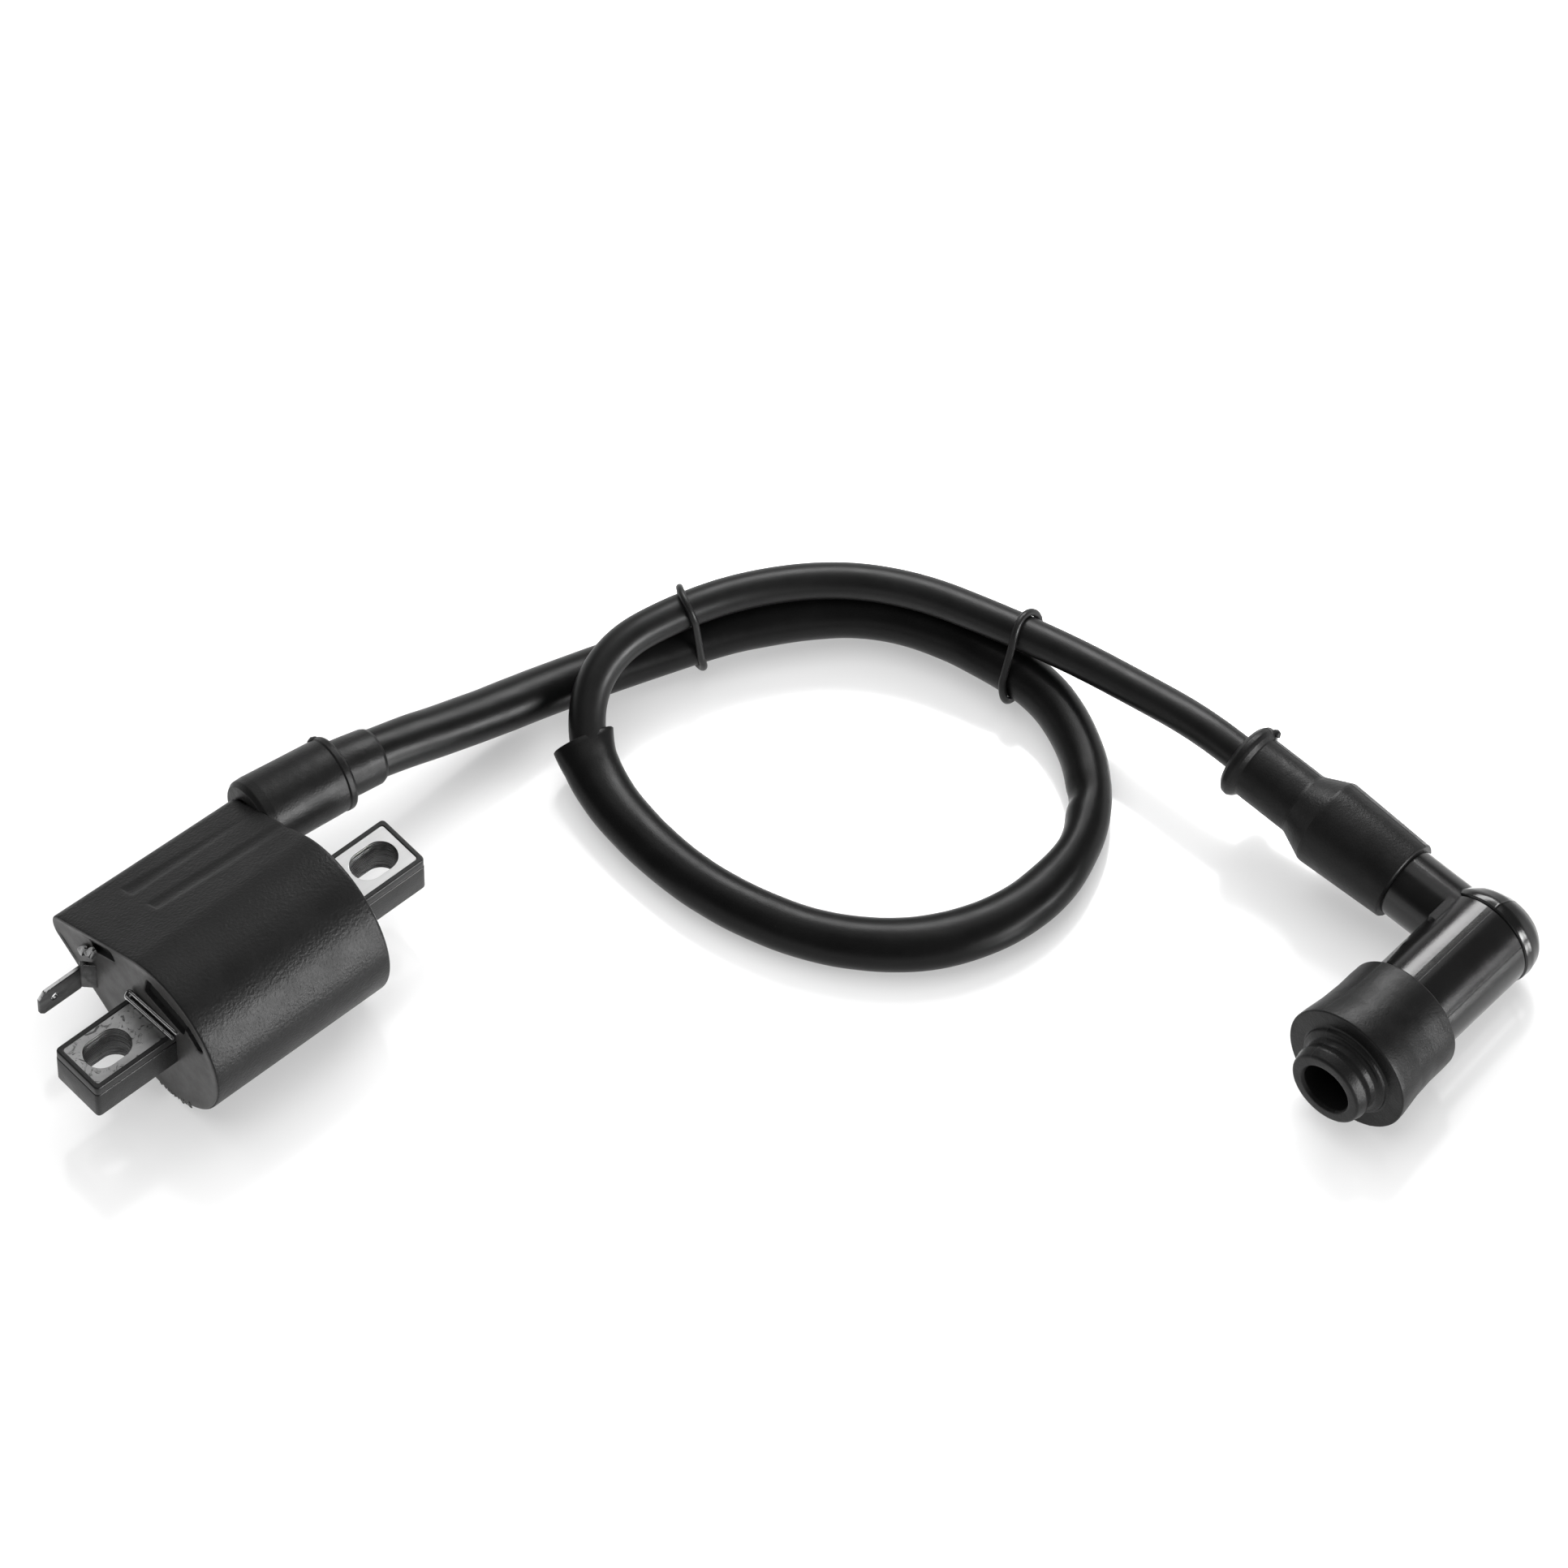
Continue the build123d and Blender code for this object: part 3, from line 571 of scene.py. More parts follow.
def sleeve_skin(line):
    """The sleeve's outside, cut lip and bore as one closed skin."""
    along, tangent, side, up = frames(line)
    where = np.array([along[nearest(line, place)] for place, _, _ in sleeve_flat])
    order = np.argsort(where)
    wide = np.interp(along, where[order], np.array([f[1] for f in sleeve_flat])[order])
    tall = np.interp(along, where[order], np.array([f[2] for f in sleeve_flat])[order])
    dents = [(along[nearest(line, place)], np.array(aim) / np.linalg.norm(aim), reach, depth)
             for place, aim, reach, depth in sleeve_dents]
    outside, bore = [], []
    for i, centre in enumerate(line):
        left = along[-1] - along[i]
        slant = math.exp(-((left / cut_fade) ** 2)) * cut_slant
        outside_ring, bore_ring = [], []
        for angle in angles_round(64):
            across, rise = math.cos(angle), math.sin(angle)
            facing = side[i] * across + up[i] * rise
            dent = 0.0
            for middle, aim, reach, depth in dents:
                gap = (along[i] - middle) / reach
                if abs(gap) < 3:
                    dent += depth * math.exp(-gap * gap) * max(0.0, float(facing @ aim)) ** 2
            ripple = noise.noise(Vector(centre + facing * sleeve_radius) * ripple_scale)
            moved = facing * (ripple_depth * ripple - dent)
            # A flattened stretch sinks, so it keeps resting on the floor
            sunk = up[i] * sleeve_radius * (1 - tall[i]) * 0.9
            for ring, radius in ((outside_ring, sleeve_radius), (bore_ring, sleeve_bore_radius)):
                sideways, upwards = across * radius * wide[i], rise * radius * tall[i]
                point = centre + side[i] * sideways + up[i] * upwards
                ring.append(point + moved - sunk + tangent[i] * slant * across)
        outside.append(outside_ring)
        bore.append(bore_ring)
    lip = [np.array(outside[-1]) * share + np.array(bore[-1]) * (1 - share) + tangent[-1] * out
           for share, out in ((0.85, 0.00022), (0.25, 0.0003))]
    return loft("sleeve", outside + lip + bore[::-1], loop=True, sharp=55)


sleeve = sleeve_skin(sleeve_line)
dress(lead, jacket_silicone, replaces=["lead_jacket"])
dress(conductor, copper_wire, replaces=["lead_conductor"])
dress(sleeve, sleeve_vinyl, replaces=["lead_sleeve"])

ring_wire, ring_slack = 0.72, 0.04


def ring_round(name, node, sleeve_run, lead_run, share, lean_back):
    """A rubber ring stretched round the sleeve and the lead on it, leaning back along them.

    sleeve_run and lead_run are the route's runs that it goes round, share is its place along
    the sleeve's, and lean_back is in millimetres.
    """
    centre = np.array(lead_route[sleeve_run].lerp(lead_route[sleeve_run + 1], share))
    run = np.array(lead_route[sleeve_run + 1] - lead_route[sleeve_run])
    forward = run / np.linalg.norm(run)
    start = np.array(lead_route[lead_run])
    lead_way = np.array(lead_route[lead_run + 1]) - start
    lead_way /= np.linalg.norm(lead_way)
    gap = (centre - start) @ forward / (lead_way @ forward)
    partner = start + lead_way * (gap - lean_back * MM)
    apart = np.linalg.norm(partner - centre)
    towards = (partner - centre) / apart
    forward = forward - towards * (forward @ towards)
    forward /= np.linalg.norm(forward)
    across = np.cross(forward, towards)
    around_sleeve = (sleeve_radius / MM + ring_wire + ring_slack) * MM
    around_lead = (lead_radius / MM + ring_wire + ring_slack) * MM
    touch = math.pi / 2 - math.asin((around_sleeve - around_lead) / apart)
    path = []
    for middle, radius, first, last, count in (
            (centre, around_sleeve, touch, FULL_TURN - touch, 70),
            (partner, around_lead, -touch, touch, 50)):
        for k in range(count):
            angle = first + (last - first) * k / (count - 1)
            path.append(middle + radius * (math.cos(angle) * towards + math.sin(angle) * across))
    path = np.array(path)
    middle = path.mean(0)
    rings = []
    for k, point in enumerate(path):
        step = path[(k + 1) % len(path)] - path[k - 1]
        step /= np.linalg.norm(step)
        out = np.cross(step, forward)
        out *= np.sign(out @ (point - middle))
        sway = forward * 0.0003 * math.sin(2.2 * k / len(path) * FULL_TURN)
        rings.append([point + sway + ring_wire * MM * (math.cos(a) * out + math.sin(a) * forward)
                      for a in angles_round(20)])
    return dress(loft(name, rings, loop=True), ring_rubber, replaces=[node])


ring_near = ring_round("ring_near", "lead_ring_near", 6, 20, 0.42, 0.4)
ring_far = ring_round("ring_far", "lead_ring_far", 9, 24, 0.43, 1.5)

# ---- Casing and resin, in millimetres until each ring is made ----------------------------------

half_length = 20.6
wall = 1.6
# The section is a large lobe and a small tip, each (Y, Z, radius), and two tangent runs
lobe = (-6.7, 17.1, 17.1)
tip_y, tip_z, tip_radius = 20.3, 19.7, 3.5
tip_draft = 0.034


def casing_outline(x):
    """Points and outward normals round the casing's section, in millimetres (Y, Z)."""
    tip = (tip_y - tip_draft * (x + half_length), tip_z, tip_radius)
    dy, dz = tip[0] - lobe[0], tip[1] - lobe[1]
    axis = math.atan2(dz, dy)
    lean = math.acos((lobe[2] - tip[2]) / math.hypot(dy, dz))
    points, normals = [], []

    def on_circle(circle, normal):
        return circle[0] + circle[2] * normal[0], circle[1] + circle[2] * normal[1]

    def arc(circle, start, end, count):
        for k in range(count):
            angle = start + (end - start) * k / count
            normal = (math.cos(angle), math.sin(angle))
            points.append(on_circle(circle, normal))
            normals.append(normal)

    def run(angle, first, last, count):
        normal = (math.cos(angle), math.sin(angle))
        a, b = on_circle(first, normal), on_circle(last, normal)
        for k in range(count):
            t = k / count
            points.append((a[0] + (b[0] - a[0]) * t, a[1] + (b[1] - a[1]) * t))
            normals.append(normal)

    arc(tip, axis - lean, axis + lean, 36)
    run(axis + lean, tip, lobe, 110)
    arc(lobe, axis + lean, axis + FULL_TURN - lean, 230)
    run(axis + FULL_TURN - lean, lobe, tip, 50)
    return np.array(points), np.array(normals)


# Where each groove's bottom is on the section: at its start, and at the far end
flutes = [((16.7, 25.1), (14.8, 26.1)), ((9.2, 28.7), (7.0, 29.6))]
flute_start, flute_lift, flute_radius = -8.8, 5.8, 6.2
flute_run_in, flute_outward = 0.7, (0.416, 0.909)


def flute_depth(x, outline):
    """How deep the two grooves cut at each outline point, at one place along the casing."""
    share = (x - flute_start) / (half_length - flute_start)
    begin = min(1.0, max(0.0, (x - flute_start) / flute_run_in))
    depth = np.zeros(len(outline))
    for first, last in flutes:
        centre = np.array(first) + (np.array(last) - np.array(first)) * share
        centre = centre + np.array(flute_outward) * flute_lift
        inside = flute_radius - np.linalg.norm(outline - centre, axis=1)
        depth += 0.5 * (inside + np.sqrt(inside ** 2 + 0.004)) - 0.002
    return np.where(depth > 0.004, depth, 0) * begin * begin * (3 - 2 * begin)


def casing_ring(x, inset, fluted):
    """One ring of the casing's skin. The far face leans out towards its top and its tip."""
    outline, outward = casing_outline(x)
    depth = flute_depth(x, outline) if fluted and x > flute_start else np.zeros(len(outline))
    place = outline - outward * (inset + depth)[:, None]
    lean = (0.9 * place[:, 1] / 34 + 0.3 * place[:, 0] / 24) * max(x, 0) / half_length
    return np.column_stack([x + lean, place]) * MM


inner_end = half_length - wall
bore_round, rim_round, far_round = 0.35, 0.3, 0.8
# (X, inset, fluted), from the bottom of the bore, round the open rim, to the far face
stations = [(inner_end, wall, False), (-half_length + bore_round, wall, False)]
for k in range(1, 5):
    turn = math.pi / 2 * k / 4
    stations.append((-half_length + bore_round * (1 - math.sin(turn)),
                     wall - bore_round * (1 - math.cos(turn)), False))
for k in range(5):
    turn = math.pi / 2 * k / 4
    stations.append((-half_length + rim_round * (1 - math.cos(turn)),
                     rim_round * (1 - math.sin(turn)), False))
for x in (-19, -17, -15, -13, -11, -9.5, -8.8, -8.66, -8.52, -8.38, -8.24, -8.1, -7.5, -6):
    stations.append((x, 0.0, True))
for x in np.arange(-4, 19.5, 2.0):
    stations.append((x, 0.0, True))
for k in range(7):
    turn = math.pi / 2 * k / 6
    stations.append((half_length - far_round * (1 - math.sin(turn)),
                     far_round * (1 - math.cos(turn)), True))
casing = loft("casing_shell", [casing_ring(*station) for station in stations], sharp=38)
dress(casing, casing_plastic, replaces=["casing"])

# A slightly dished face that climbs the wall, with three pits where air was trapped
face_x = -20.47
face_heart = np.array((-2.0, 17.4))
climb, climb_width = 0.25, 1.5
# (Y, Z, length, height, turn in degrees)
pits = [(9.0, 25.9, 6.6, 2.9, -24.6), (-9.0, 27.1, 11.0, 4.9, 12.0), (-16.8, 25.7, 5.8, 2.1, 40.0)]
pit_depth, pit_round, pit_wall = 0.95, 0.7, 0.45


def pit_share(y, z, pit):
    """How far down a pit's wall a point is, from 0 on the face to 1 on the pit's floor."""
    pit_y, pit_z, long, high, turn = pit
    a = math.radians(turn)
    u = (y - pit_y) * math.cos(a) + (z - pit_z) * math.sin(a)
    v = (z - pit_z) * math.cos(a) - (y - pit_y) * math.sin(a)
    du, dv = abs(u) - long / 2 + pit_round, abs(v) - high / 2 + pit_round
    gap = math.hypot(max(du, 0), max(dv, 0)) + min(max(du, dv), 0) - pit_round
    t = min(1.0, max(0.0, 0.5 - gap / pit_wall))
    return t * t * (3 - 2 * t)


rim, rim_outward = casing_outline(-half_length)
resin_rim = rim - rim_outward * 0.45
rings = []
for share in np.concatenate([np.linspace(0.02, 0.86, 44), np.linspace(0.875, 1.0, 14)]):
    ring = []
    for (y, z), (edge_y, edge_z) in zip(face_heart + (resin_rim - face_heart) * share, resin_rim):
        edge = math.hypot(edge_y - y, edge_z - z)
        x = face_x - climb * math.exp(-((edge / climb_width) ** 2))
        x += 0.07 * noise.noise(Vector((y * 0.12, z * 0.12, 3.0)))
        for pit in pits:
            x += pit_depth * pit_share(y, z, pit)
        ring.append((x, y, z))
    rings.append(np.array(ring) * MM)
rings.append(np.column_stack([np.full(len(rim), -half_length), rim - rim_outward * 0.3]) * MM)
bottom, bottom_outward = casing_outline(inner_end)
bottom = bottom - bottom_outward * (wall - 0.02)
rings.append(np.column_stack([np.full(len(bottom), inner_end - 0.02), bottom]) * MM)
resin_face = loft("resin_fill", rings, sharp=60)
dress(resin_face, resin, replaces=["potting_resin"])

# Crumbs of resin that ran over the lower rim
random.seed(7)
crumb_reach = 16.75
crumbs = []
for number in range(9):
    turn = math.radians(-89 - number * 3.6 - random.random() * 2)
    size = 0.28 + random.random() * 0.34
    spot = np.array((-half_length - 0.05, lobe[0] + crumb_reach * math.cos(turn),
                     lobe[1] + crumb_reach * math.sin(turn)))
    profile = [(-size * 0.5, 0), (-size * 0.42, size * 0.8), (0, size * 1.25), (size * 0.4, 0)]
    crumbs.append(lathe(
        f"crumb{number}", spot * MM, (1, 0, 0), profile, {1: size, 2: size}, closed=False,
        count=18, shape=lambda s, r, a: 0.28 * size * math.sin(3 * a + number) * (r > 0.1)))
flash = join("resin_flash", crumbs)
dress(flash, wet_resin)

# ---- Core bar and ear covers, in millimetres ---------------------------------------------------

bar_y, bar_bottom, bar_height = -5.7, 12.9, 8.4
bar_half, bar_half_width = 38.3, 5.2
slot_x, slot_length, slot_width = 31.75, 9.8, 6.8
sheets = 17
sheet_thick = bar_height / sheets
layers = []
for number in range(sheets):
    shift_x, shift_y = random.uniform(-0.03, 0.03), random.uniform(-0.03, 0.03)
    blank = [(-bar_half, -bar_half_width), (bar_half, -bar_half_width),
             (bar_half, bar_half_width), (-bar_half, bar_half_width)]
    holes = [stadium(x, slot_length, slot_width) for x in (-slot_x, slot_x)]
    layers.append(slab(f"sheet{number}", [blank] + holes, sheet_thick - 0.01, 0.06,
                       at(shift_x, bar_y + shift_y, bar_bottom + (number + 0.5) * sheet_thick)))
core = join("core_sheets", layers)
dress(core, core_steel, replaces=["core_laminations"])
# The sheets' cut edges are dark, and so are the slots' walls
core.data.materials.append(cut_steel)
for face in core.data.polygons:
    face.material_index = int(abs(face.normal.z) < 0.6)


def ear_cover(side, name, node):
    """The plastic jacket round one ear, a little narrower above its parting ledge."""
    parts = []
    # (bottom, top, inset of the outside, half width and reach of the inside)
    for low, high, inset, wide, deep in ((12.75, 19.3, 0.0, 5.2, 38.3),
                                         (19.25, 21.45, 0.05, 4.95, 38.05)):
        far, near, out = 39.2 - inset, 18.8, 6.1 - inset
        shell = [(near, -out), (far, -out), (far, out), (near, out), (near, wide), (deep, wide),
                 (deep, -wide), (near, -wide)]
        shell = rounded(shell, {1: 1.0, 2: 1.0, 5: 0.5, 6: 0.5}, closed=True, steps=8)
        shell = [(side * x, y) for x, y in shell]
        parts.append(slab(name, [shell], high - low, 0.28, at(0, bar_y, (low + high) / 2)))
    piece = join(name, parts)
    return dress(piece, cover_plastic, replaces=[node])


ear_cover(-1, "ear_jacket_near", "ear_cover_near")
ear_cover(1, "ear_jacket_far", "ear_cover_far")

# ---- Ground clip, terminal and solder, in millimetres ------------------------------------------


def wire(name, corners, bends, radius):
    """A bent wire through corners in millimetres; radius is (at the start, at the end)."""
    line = rounded(corners, {index: bends for index in range(1, len(corners) - 1)}, steps=9) * MM
    spacing = 0.4 * MM
    dense = [line[0]]
    for first, last in zip(line, line[1:]):
        count = max(1, int(np.linalg.norm(last - first) / spacing))
        dense += [first + (last - first) * k / count for k in range(1, count + 1)]
    dense = np.array(dense)
    along, _, side, up = frames(dense)
    rings = []
    for i, centre in enumerate(dense):
        share = along[i] / along[-1]
        size = (radius[0] * (1 - share) + radius[1] * share) * MM
        # The wire's two ends are rounded off
        end = min(1.0, (min(along[i], along[-1] - along[i]) + 0.00005) / (0.4 * size))
        size *= 0.55 + 0.45 * end
        rings.append([centre + size * (math.cos(a) * side[i] + math.sin(a) * up[i])
                      for a in angles_round(16)])
    return loft(name, rings)


clip_corners = [(-21.6, -12.3, 21.82), (-22.1, 0.6, 21.82), (-21.0, 0.9, 22.35),
                (-20.5, -12.3, 22.35)]
clip = wire("ground_clip_strip", clip_corners, 0.6, (0.38, 0.52))
dress(clip, clip_steel_and_terminal_highlight, replaces=["ground_clip"])

# The upright blade's outline (X, Z) with its latch hole, and the bent foot's (X, Y)
blade_plan = [(-22.0, 11.5), (-22.0, 17.2), (-30.8, 17.2), (-32.2, 15.6), (-32.2, 11.8),
              (-31.3, 10.9), (-22.6, 10.9)]
latch_x, latch_z, latch_radius = -28.6, 14.05, 0.85
latch = [(latch_x + latch_radius * math.cos(a), latch_z + latch_radius * math.sin(a))
         for a in angles_round(28)]
blade_plan = rounded(blade_plan, {2: 0.4, 3: 0.4, 4: 0.3, 5: 0.3, 6: 0.3}, closed=True)
blade = slab("blade", [blade_plan, latch], 0.8, 0.16, at(0, 13.9, 0) @ stand)
foot_plan = [(-17.6, 11.2), (-20.6, 11.2), (-22.8, 13.5), (-22.1, 14.3), (-20.2, 12.0),
             (-17.6, 12.0)]
foot_plan = rounded(foot_plan, {1: 0.8, 2: 0.8, 3: 0.9, 4: 1.0}, closed=True)
foot = slab("foot", [foot_plan], 7.1, 0.12, at(0, 0, 15.05))
terminal = join("terminal_tab", [blade, foot])
dress(terminal, oxidised_steel, replaces=["spade_terminal"])
# Its upward edges are painted bright with the clip's steel: a painted highlight
terminal.data.materials.append(clip_steel_and_terminal_highlight)
for face in terminal.data.polygons:
    face.material_index = int(face.normal.z > 0.6)

blob_outline = [(-2.3, 0), (-2.1, 0.7), (-0.9, 1.25), (0.6, 1.05), (2.0, 0.85), (3.1, 0.6),
                (3.4, 0)]
blobs = []
for number, (place, size) in enumerate([((-20.7, 12.2, 22.2), 0.9), ((-20.9, 14.2, 20.9), 0.8)]):
    blobs.append(lathe(
        f"blob{number}", np.array(place) * MM, (-0.05, -0.5, 0.86),
        [(s * size, r * size) for s, r in blob_outline],
        {1: 0.7, 2: 1.2, 3: 1.2, 4: 0.8, 5: 0.4}, closed=False, count=40,
        shape=lambda s, r, a: 0.13 * math.sin(3 * a + number + s) * min(r, 1)))
blob = join("solder_bead", blobs)
dress(blob, solder, replaces=["solder_joint"])

# ---- Tower boot and exit bush: profiles of (along, radius) in millimetres ----------------------

boot_start = Vector((21.7, 17.23, 19.91)) * MM
boot_direction = Vector((19.0, -1.8, -0.9))
boot_profile = [(-0.8, 4.2), (-0.8, 6.9), (0.1, 7.6), (1.8, 7.75), (9.0, 7.55), (16.0, 7.3),
                (17.3, 7.2), (17.6, 7.38), (18.6, 7.34), (19.1, 7.0), (19.1, 5.2), (17.5, 5.0),
                (7.4, 5.0), (7.4, 4.2)]
boot = lathe("tower_boot_skin", boot_start, boot_direction, boot_profile,
             {1: 0.5, 2: 0.6, 3: 1.0, 6: 0.3, 7: 0.3, 8: 0.5, 9: 0.4, 10: 0.3},
             shape=lambda s, r, a: 0.13 * math.sin(a * 2 + s * 0.15) * (r > 6.9))
nub_place = boot_start + boot_direction.normalized() * 18.2 * MM + Vector((0.0002, 0.0060, 0.0041))
nub = lathe("nub", nub_place, (0, 0.75, 0.66), [(-0.6, 0), (-0.5, 1.5), (0.35, 0.9), (0.7, 0)],
            {1: 0.3, 2: 0.4}, closed=False, count=24)
boot = join("tower_boot_skin", [boot, nub])
dress(boot, boot_rubber, replaces=["tower_boot"])

bush_start = Vector((40.9, 15.46, 19.03)) * MM
bush_direction = Vector((7.9, -0.75, -1.4))
bush_profile = [(-0.6, 5.0), (-0.6, 5.78), (3.0, 5.7), (7.2, 5.5), (7.9, 5.2), (7.9, 4.98),
                (6.5, 4.92)]
bush = lathe("exit_bush_skin", bush_start, bush_direction, bush_profile,
             {2: 1.0, 3: 0.4, 4: 0.2, 5: 0.1},
             shape=lambda s, r, a: 0.06 * math.sin(a * 3 + 1) * (r > 5.3))
dress(bush, boot_rubber, replaces=["exit_bush"])

# ---- Plug cap: profiles of (along, radius) in millimetres --------------------------------------

dome_profile = [(-0.5, 0), (-0.5, 9.2), (-0.75, 9.65), (-0.95, 10.1), (-2.4, 10.2), (-5.0, 9.15),
                (-7.0, 7.2), (-8.3, 4.3), (-8.7, 0)]
dome = lathe("cap_dome", elbow, mouth_axis, dome_profile, {1: 0.2, 3: 0.3, 4: 3, 5: 4, 6: 5, 7: 5},
             closed=False, seams=[(-8, 0.07, 0.18), (172, 0.07, 0.18)])
# The dome's tip is a little to one side of the axis
dome_shift = 1.1 * MM
for vertex in dome.data.vertices:
    depth = -(vertex.co - elbow).dot(mouth_axis) / MM
    vertex.co.y -= dome_shift * min(1.0, max(0.0, (depth - 2.0) / 5.0))
dress(dome, cap_phenolic, "cap", ["cap_end_dome"])

plug_profile = [
    (22.9, 9.75), (22.9, 11.95), (23.2, 12.12), (25.2, 12.2), (29.0, 12.2), (33.5, 12.5),
    (38.4, 13.2), (40.0, 13.25), (40.0, 9.9), (40.2, 9.5), (40.9, 9.3), (41.1, 8.6),
    (41.4, 8.0), (42.6, 7.7), (44.2, 8.2), (46.4, 7.6), (46.4, 5.5), (45.8, 5.1), (35.0, 5.1),
    (35.0, 9.75),
]
plug_boot = lathe("plug_boot_skin", elbow, mouth_axis, plug_profile,
                  {1: 0.25, 2: 0.3, 3: 0.6, 4: 4.0, 5: 5.0, 7: 0.35, 8: 0.4, 9: 0.4, 10: 0.5,
                   11: 0.4, 12: 1.0, 13: 1.2, 14: 1.4, 15: 0.7, 16: 0.4, 17: 0.5},
                  seams=[(30, 0.05, 0.2), (210, 0.05, 0.2)],
                  shape=lambda s, r, a: 0.05 * math.sin(a * 2 + 0.8 + s * 0.05) * (r > 11)
                  * (s < 39))
dress(plug_boot, boot_rubber, "cap", ["plug_boot"])

lead_boot_profile = [
    (18.4, 6.95), (18.4, 7.9), (18.7, 8.15), (36.6, 8.85), (37.1, 8.8), (42.3, 6.4), (42.8, 6.3),
    (54.2, 6.25), (54.9, 7.1), (55.6, 7.5), (56.6, 7.4), (57.5, 6.4), (57.5, 4.4), (56.9, 3.62),
    (51.5, 3.58), (51.5, 4.2), (43.0, 4.2), (43.0, 6.0), (41.0, 6.0), (41.0, 6.95),
]
lead_boot = lathe("lead_boot_skin", elbow, arm_axis, lead_boot_profile,
                  {1: 0.2, 2: 0.3, 3: 0.2, 4: 0.2, 5: 0.3, 6: 0.3, 7: 0.5, 8: 0.5, 9: 0.7, 10: 0.7,
                   11: 0.6, 12: 0.5, 13: 0.3},
                  seams=[(40, 0.05, 0.3), (220, 0.05, 0.3)],
                  shape=lambda s, r, a: 0.10 * math.sin(a * 2 + 1.9) * (r > 6.9) * (s < 42))
flash_nub = lathe("flash_nub", arm_point(0.0560) + Vector((0.0063, -0.0006, 0.0036)),
                  (0.8, 0.1, 0.6), [(-0.6, 0), (-0.5, 1.1), (0.5, 0.7), (0.8, 0)],
                  {1: 0.3, 2: 0.3}, closed=False, count=20)
lead_boot = join("lead_boot_skin", [lead_boot, flash_nub])
dress(lead_boot, boot_rubber, "cap", ["lead_boot"])


def seam(name, angle, first=-0.4, last=23.0, radius=9.78, width=0.11):
    """A raised mould line along the cap's body, in millimetres, its angle from straight up."""
    zero = Vector((0, 0, 1)) - mouth_axis * mouth_axis.z
    zero.normalize()
    quarter = mouth_axis.cross(zero)
    turn = math.radians(angle)
    out = zero * math.cos(turn) + quarter * math.sin(turn)
    across = out.cross(mouth_axis)
    rings = []
    for s in np.linspace(first, last, 12):
        centre = elbow + mouth_axis * s * MM + out * radius * MM
        rings.append([centre + (across * math.cos(a) + out * math.sin(a)) * width * MM
                      for a in angles_round(10)])
    return loft(name, rings)


mould_lines = join("cap_mould_lines", [seam(f"seam{angle}", angle) for angle in (-8, -60.5, 172)])
dress(mould_lines, cap_phenolic, "cap")

# ---- CAD nodes that stay, with their own materials ---------------------------------------------

kept = {
    "cap_body": cap_phenolic, "primary_bobbin": bobbin_plastic, "secondary_bobbin": bobbin_plastic,
    "primary_winding": copper_wire, "secondary_winding": copper_wire,
    "layer_insulation": insulation_film, "ht_terminal": brass, "ht_link": copper_wire,
    "elbow_contact": brass, "cable_screw": brass, "contact_spring": spring_steel,
    "resistor": resistor_ceramic, "resistor_caps": tinned_steel, "plug_terminal": brass,
    "terminal_clip": spring_steel,
}
for name, material in kept.items():
    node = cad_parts[name]
    node.data.materials.clear()
    node.data.materials.append(material)

# ---- Floor and light ---------------------------------------------------------------------------

floor_reach = 6.0
floor_mesh = bpy.data.meshes.new("floor")
floor_mesh.from_pydata([(x * floor_reach, y * floor_reach, 0)
                        for x, y in ((-1, -1), (1, -1), (1, 1), (-1, 1))], [], [(0, 1, 2, 3)])
floor = linked("floor", floor_mesh)
floor.location.z = -0.0002
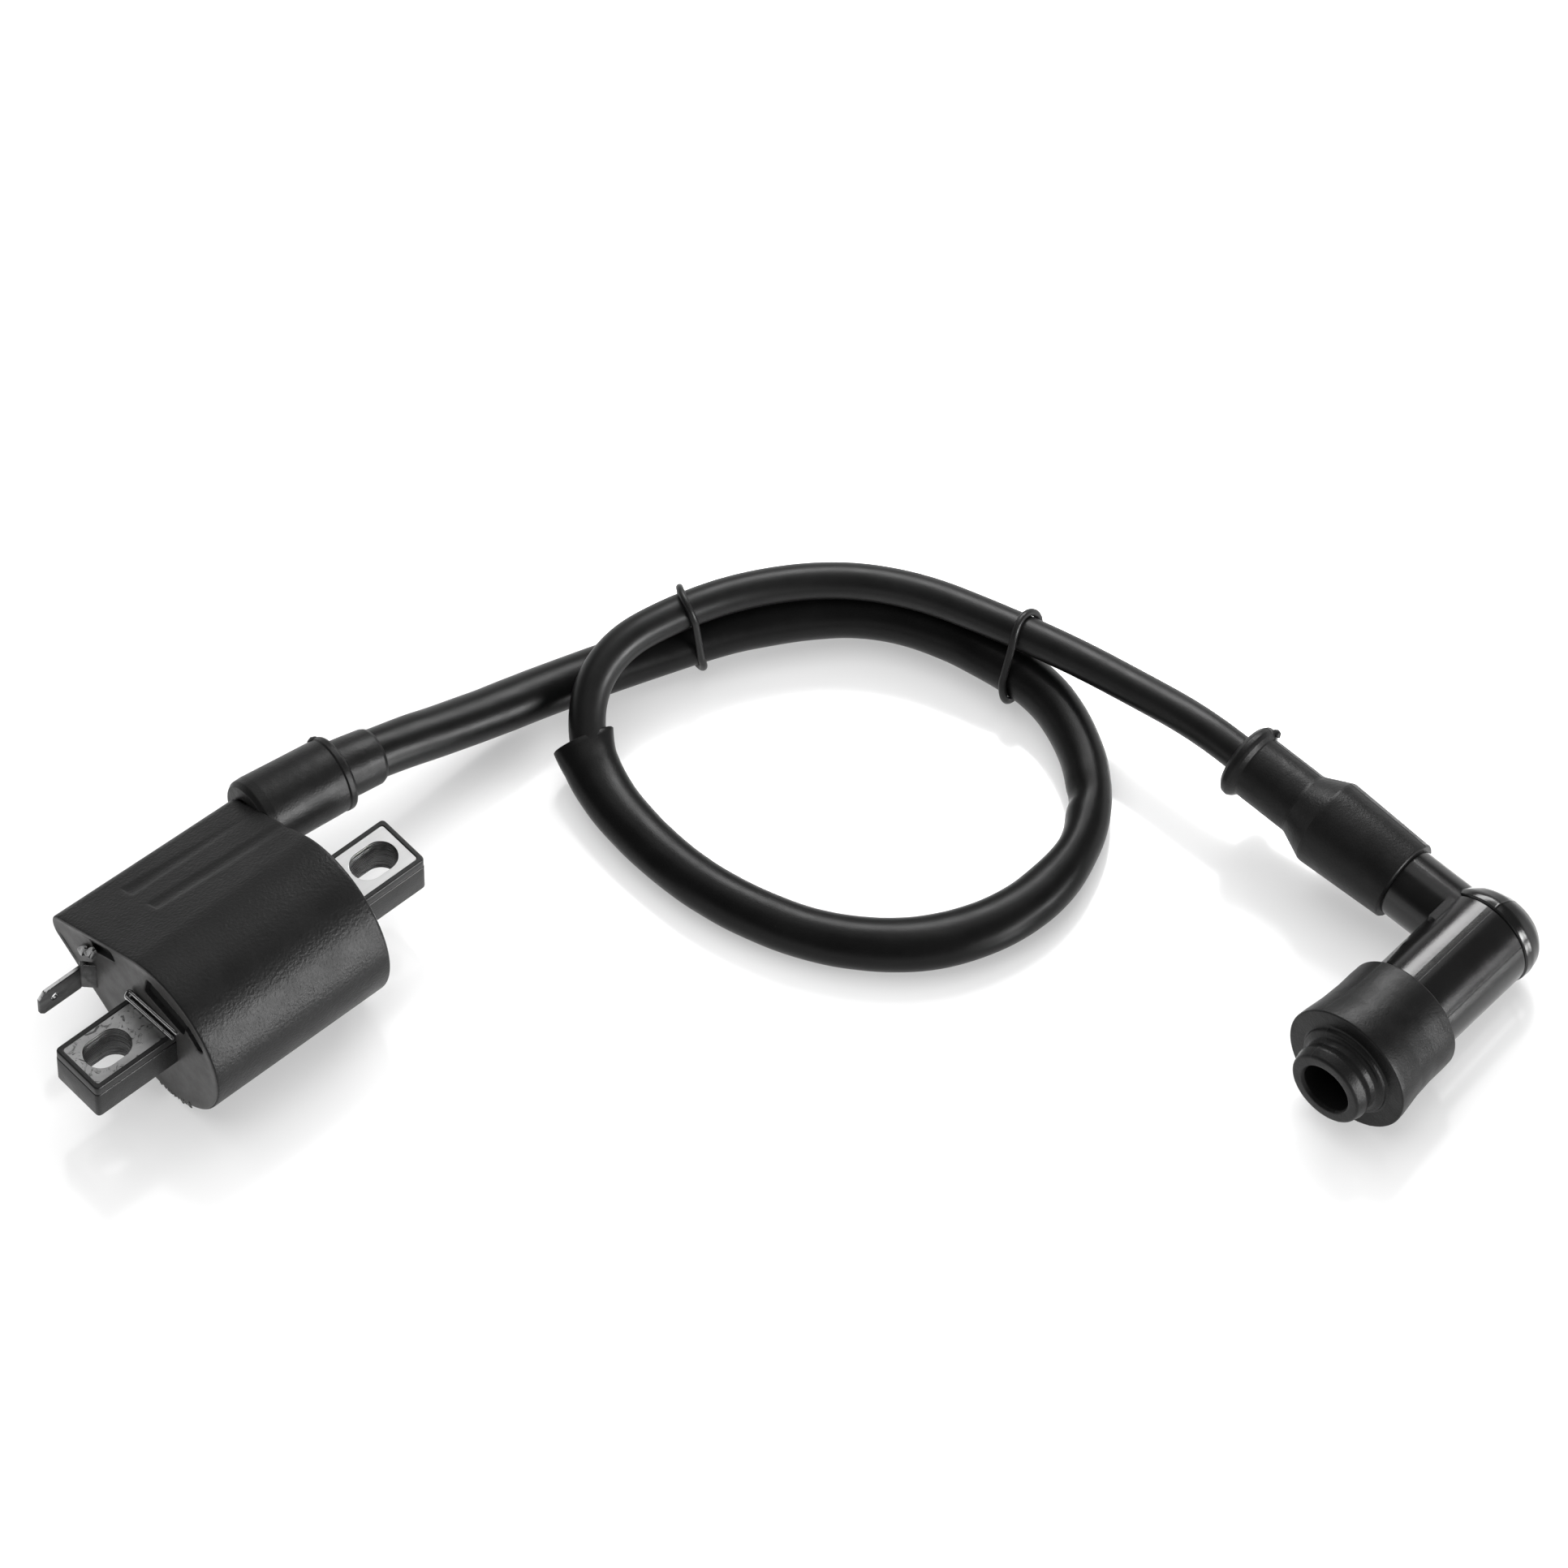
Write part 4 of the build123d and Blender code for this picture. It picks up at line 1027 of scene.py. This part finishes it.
# Its own faint glow keeps it white, and its clear coat gives the soft mirror image
floor_finish = Finish("floor")
floor_finish.colour(floor_finish.ramp(floor_finish.noise(3, 2),
                                      [(0.0, grey(0.50)), (1.0, grey(0.52))]))
floor_finish.set(Roughness=0.14, Specular_IOR_Level=0.9, Coat_Weight=1.0, Coat_IOR=1.6,
                 Coat_Roughness=0.14, Emission_Color=grey(1.0), Emission_Strength=0.42)
floor.data.materials.append(floor_finish.done())

# A bright horizon under a dark ceiling, so that black plastic stays black from above
world = bpy.data.worlds.new("studio")
world.use_nodes = True
scene.world = world
tree = world.node_tree
sky = tree.nodes["Background"]
direction = tree.nodes.new("ShaderNodeTexCoord").outputs["Generated"]
split = tree.nodes.new("ShaderNodeSeparateXYZ")
tree.links.new(direction, split.inputs["Vector"])
height = tree.nodes.new("ShaderNodeValToRGB")
stops = [(0.0, grey(1.0)), (0.12, grey(1.0)), (0.35, grey(0.14)), (0.5, grey(0.05))]
while len(height.color_ramp.elements) < len(stops):
    height.color_ramp.elements.new(0.5)
for element, (where, colour) in zip(height.color_ramp.elements, stops):
    element.position, element.color = where, colour
tree.links.new(split.outputs["Z"], height.inputs["Fac"])
tree.links.new(height.outputs["Color"], sky.inputs["Color"])
sky.inputs["Strength"].default_value = 1.0


def softbox(name, place, target, size, power, mirrored=True):
    """A rectangular lamp aimed at a point; one that isn't mirrored makes no highlights."""
    data = bpy.data.lights.new(name, "AREA")
    data.shape = "RECTANGLE"
    data.size, data.size_y = size
    data.energy = power
    lamp = linked(name, data)
    lamp.location = place
    aim = Vector(target) - Vector(place)
    lamp.rotation_mode = "QUATERNION"
    lamp.rotation_quaternion = aim.to_track_quat("-Z", "Y")
    lamp.visible_glossy = mirrored
    lamp.visible_camera = False


softbox("overhead", (-0.1, 0.2, 2.2), (0.08, -0.03, 0), (2.4, 2.4), 50, mirrored=False)
softbox("top_panel", (0.85, 0.95, 1.78), (0.02, -0.01, 0.02), (2.4, 2.4), 15)
softbox("front_right", (0.75, -1.7, 0.42), (0.08, -0.03, 0.01), (1.0, 0.5), 37)
softbox("cap_panel", (0.3255, 0.0675, 0.235), (0.168, -0.1495, 0.0113), (0.26, 0.11), 0.95)
